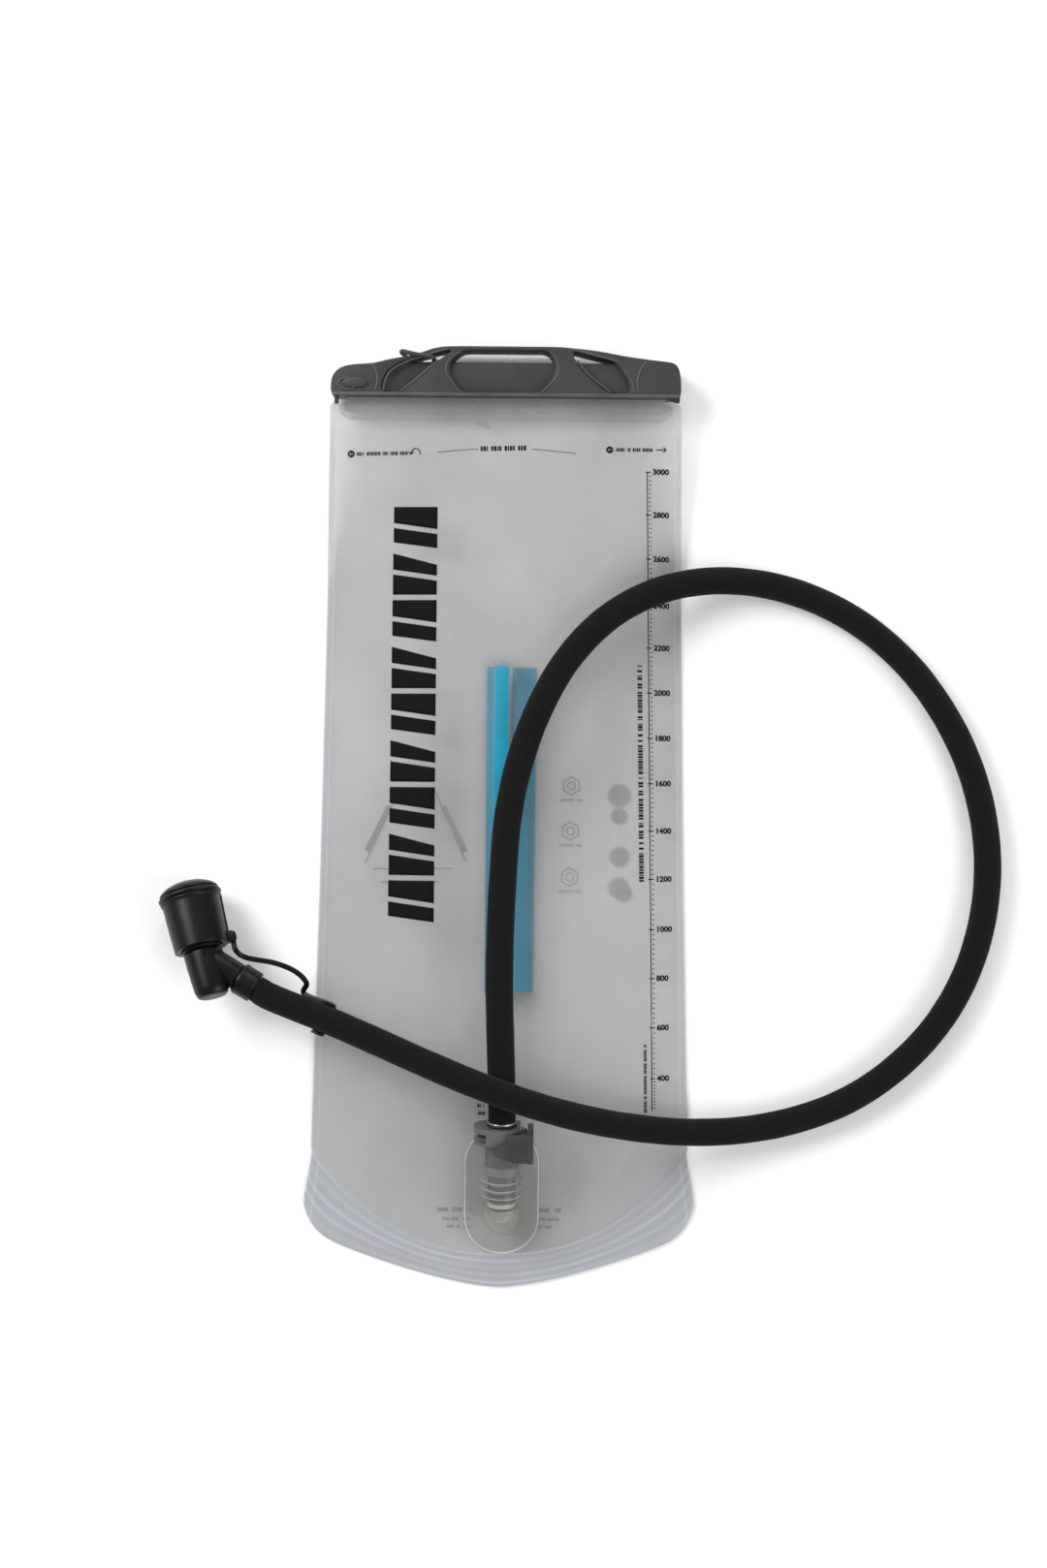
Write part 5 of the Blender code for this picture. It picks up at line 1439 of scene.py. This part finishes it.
class AddValve(bpy.types.Operator):
    """Add the bite valve, its arm, dust cap, strap and clip"""

    bl_idname = "bladder.add_valve"
    bl_label = "Bite valve"

    def execute(self, context):
        place, arm = valve_frame(), arm_frame()
        black = moulded("valve plastic", colours().valve, 0.36, spark=1300.0, depth=0.015, spread=0.2,
                        shine=0.25).material
        self.add_barrel(place, arm, black)
        self.add_cap(place, black)
        rubber = moulded("mouthpiece rubber", (0.018, 0.018, 0.019), 0.5)
        ring = [(4.0, 2.9), (10.0, 2.9), (10.0, 11.4), (6.2, 12.0), (6.2, 18.0), (4.0, 18.0)]
        piece = turned("grip_ring", ring, place, black, "twist")
        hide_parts("twist_ring")
        refined("mouthpiece", "bite_mouthpiece", rubber.material, "twist", 0.3)
        dressed(black, "shutoff_spool")
        self.add_strap(place, black)
        refined("strap_clip", "hose_clip", black, "hose", 0.25)
        return {"FINISHED"}

    def add_barrel(self, place, arm, black):
        """The barrel is a turned profile with the petal pressed in: r(z) less the petal's depth."""
        profile = [(0.0, 2.6), (9.6, 2.6), (9.3, -4.0), (8.75, -12.0), (8.35, -17.0), (7.3, -19.7),
                   (5.6, -20.5), (0.0, -20.5)]
        dense = evenly(rounded(profile, 1.6, 5, closed=False), 110)
        dense[0, 0] = dense[-1, 0] = 0.001
        angle = np.arange(112) * TAU / 112
        radius = petal(dense[:, 1:], angle[None], dense[:, :1])
        radius = np.where(dense[:, :1] > 7.0, radius, dense[:, :1])
        rings = np.empty((len(dense), len(angle), 3))
        rings[..., 0], rings[..., 1] = radius * np.cos(angle), radius * np.sin(angle)
        rings[..., 2] = dense[:, 1:]
        barrel = lofted("valve_barrel", placed(rings, place), black, "hose", smooth=50.0)
        taper = [(0.0, 2.0), (6.9, 2.0), (6.9, 4.8), (6.6, 19.1), (0.0, 19.1)]
        turned("valve_arm", taper, arm, black, "hose", corner=0.4)
        collar = [(5.0, 19.4), (7.2, 19.4), (7.7, 20.4), (7.7, 28.6), (7.2, 29.1), (5.0, 29.1)]
        sleeve = turned("hose_end_collar", collar, arm, black, "hose", corner=0.4)
        ring_of("collar_step", 5.0, 7.95, 20.6, 21.6, arm, black, "hose")
        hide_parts("valve_elbow")
        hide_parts("hose_collar")

    def add_cap(self, place, black):
        """A tapering cup whose rim is two rolled ribs under a low dome."""
        dome = [(0.0, 37.6), (4.6, 37.4), (8.6, 36.6), (11.6, 35.3), (13.6, 33.9), (14.5, 32.7)]
        ribs = [(14.4, 32.1), (13.8, 31.8), (14.7, 31.5), (15.4, 30.8), (15.4, 30.1), (14.8, 29.5),
                (14.3, 29.2), (14.9, 28.8), (14.9, 28.1), (14.15, 27.5)]
        wall = [(14.05, 26.0), (13.75, 16.0), (13.3, 4.3), (13.0, 4.0)]
        inner = [(10.3, 4.0), (10.3, 5.2), (12.0, 6.4), (12.8, 27.2), (11.0, 33.2), (0.0, 35.2)]
        outline = dome + ribs + wall + inner
        cap = turned("dust_cap_cup", outline, place, black, "cap", steps=96, corner=0.3)
        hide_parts("dust_cap")
        lug = rounded([(12.2, 4.0), (16.6, 4.0), (17.4, 5.0), (17.2, 8.4), (15.6, 9.4), (12.2, 9.4)], 1.0)
        slab("cap_lug", lug, -2.6, 2.6, upright_to(place), black, "cap", 0.6)
        rib = rounded([(12.6, 7.0), (14.3, 7.0), (14.95, 29.0), (13.4, 29.0)], 0.6)
        slab("cap_rib", rib, -1.0, 1.0, upright_to(place), black, "cap", 0.4)

    def add_strap(self, place, black):
        """A flat band from the cap along the strap's route and down to the clip on the hose."""
        points = hose_points()
        start = placed((15.4, 0.0, 3.9), place)
        first = start - place[1][:, 2] * 5
        along = unit(points[-4] - points[-2])
        side = unit(np.cross((0, 0, 1), along))
        side = side if side[1] > 0 else -side
        up = np.cross(along, side)
        up = up if up[2] > 0 else -up
        last = points[-3] + side * CLIP_REACH * 0.7 - up * CLIP_REACH * 0.75
        way = spline_through([start, first + side * 0.5, *STRAP_ROUTE, last], 90)
        wide, thick = sizes().strap_width / MM / 2, 0.7
        section = bar_outline(-wide, wide, -thick, thick, 0.5)
        band = lofted("cap_band", carried(way, section), black, None, smooth=50.0)
        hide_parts("cap_strap")
        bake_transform(band)


class DeclareHose(bpy.types.Operator):
    """An empty step that does nothing"""

    bl_idname = "bladder.declare_hose"
    bl_label = "Hose facts"

    def execute(self, context):
        return {"FINISHED"}


class BladderPanel(bpy.types.Panel):
    """Lists the bladder's settings and operators."""

    bl_idname = "VIEW3D_PT_bladder"
    bl_label = "Hydration Bladder"
    bl_space_type = "VIEW_3D"
    bl_region_type = "UI"
    bl_category = "Bladder"

    def draw(self, context):
        for settings in (context.scene.bladder_sizes, context.scene.bladder_colours):
            box = self.layout.box()
            for key in settings.__annotations__:
                box.prop(settings, key)
        for step in STEPS:
            self.layout.operator(step.bl_idname)


STEPS = (AddCamera, AddStage, AddHose, AddValve, AddFilms, AddBaffle, AddPrint, AddClosure, AddTether,
         AddPort, DeclareHose)
CLASSES = (BladderColours, BladderSizes, *STEPS, BladderPanel)


def register():
    for entry in CLASSES:
        bpy.utils.register_class(entry)
    bpy.types.Scene.bladder_colours = bpy.props.PointerProperty(type=BladderColours)
    bpy.types.Scene.bladder_sizes = bpy.props.PointerProperty(type=BladderSizes)


def unregister():
    del bpy.types.Scene.bladder_sizes
    del bpy.types.Scene.bladder_colours
    for entry in reversed(CLASSES):
        bpy.utils.unregister_class(entry)


def main():
    register()
    for step in STEPS:
        group, name = step.bl_idname.split(".")
        getattr(getattr(bpy.ops, group), name)()


if __name__ == "__main__":
    main()
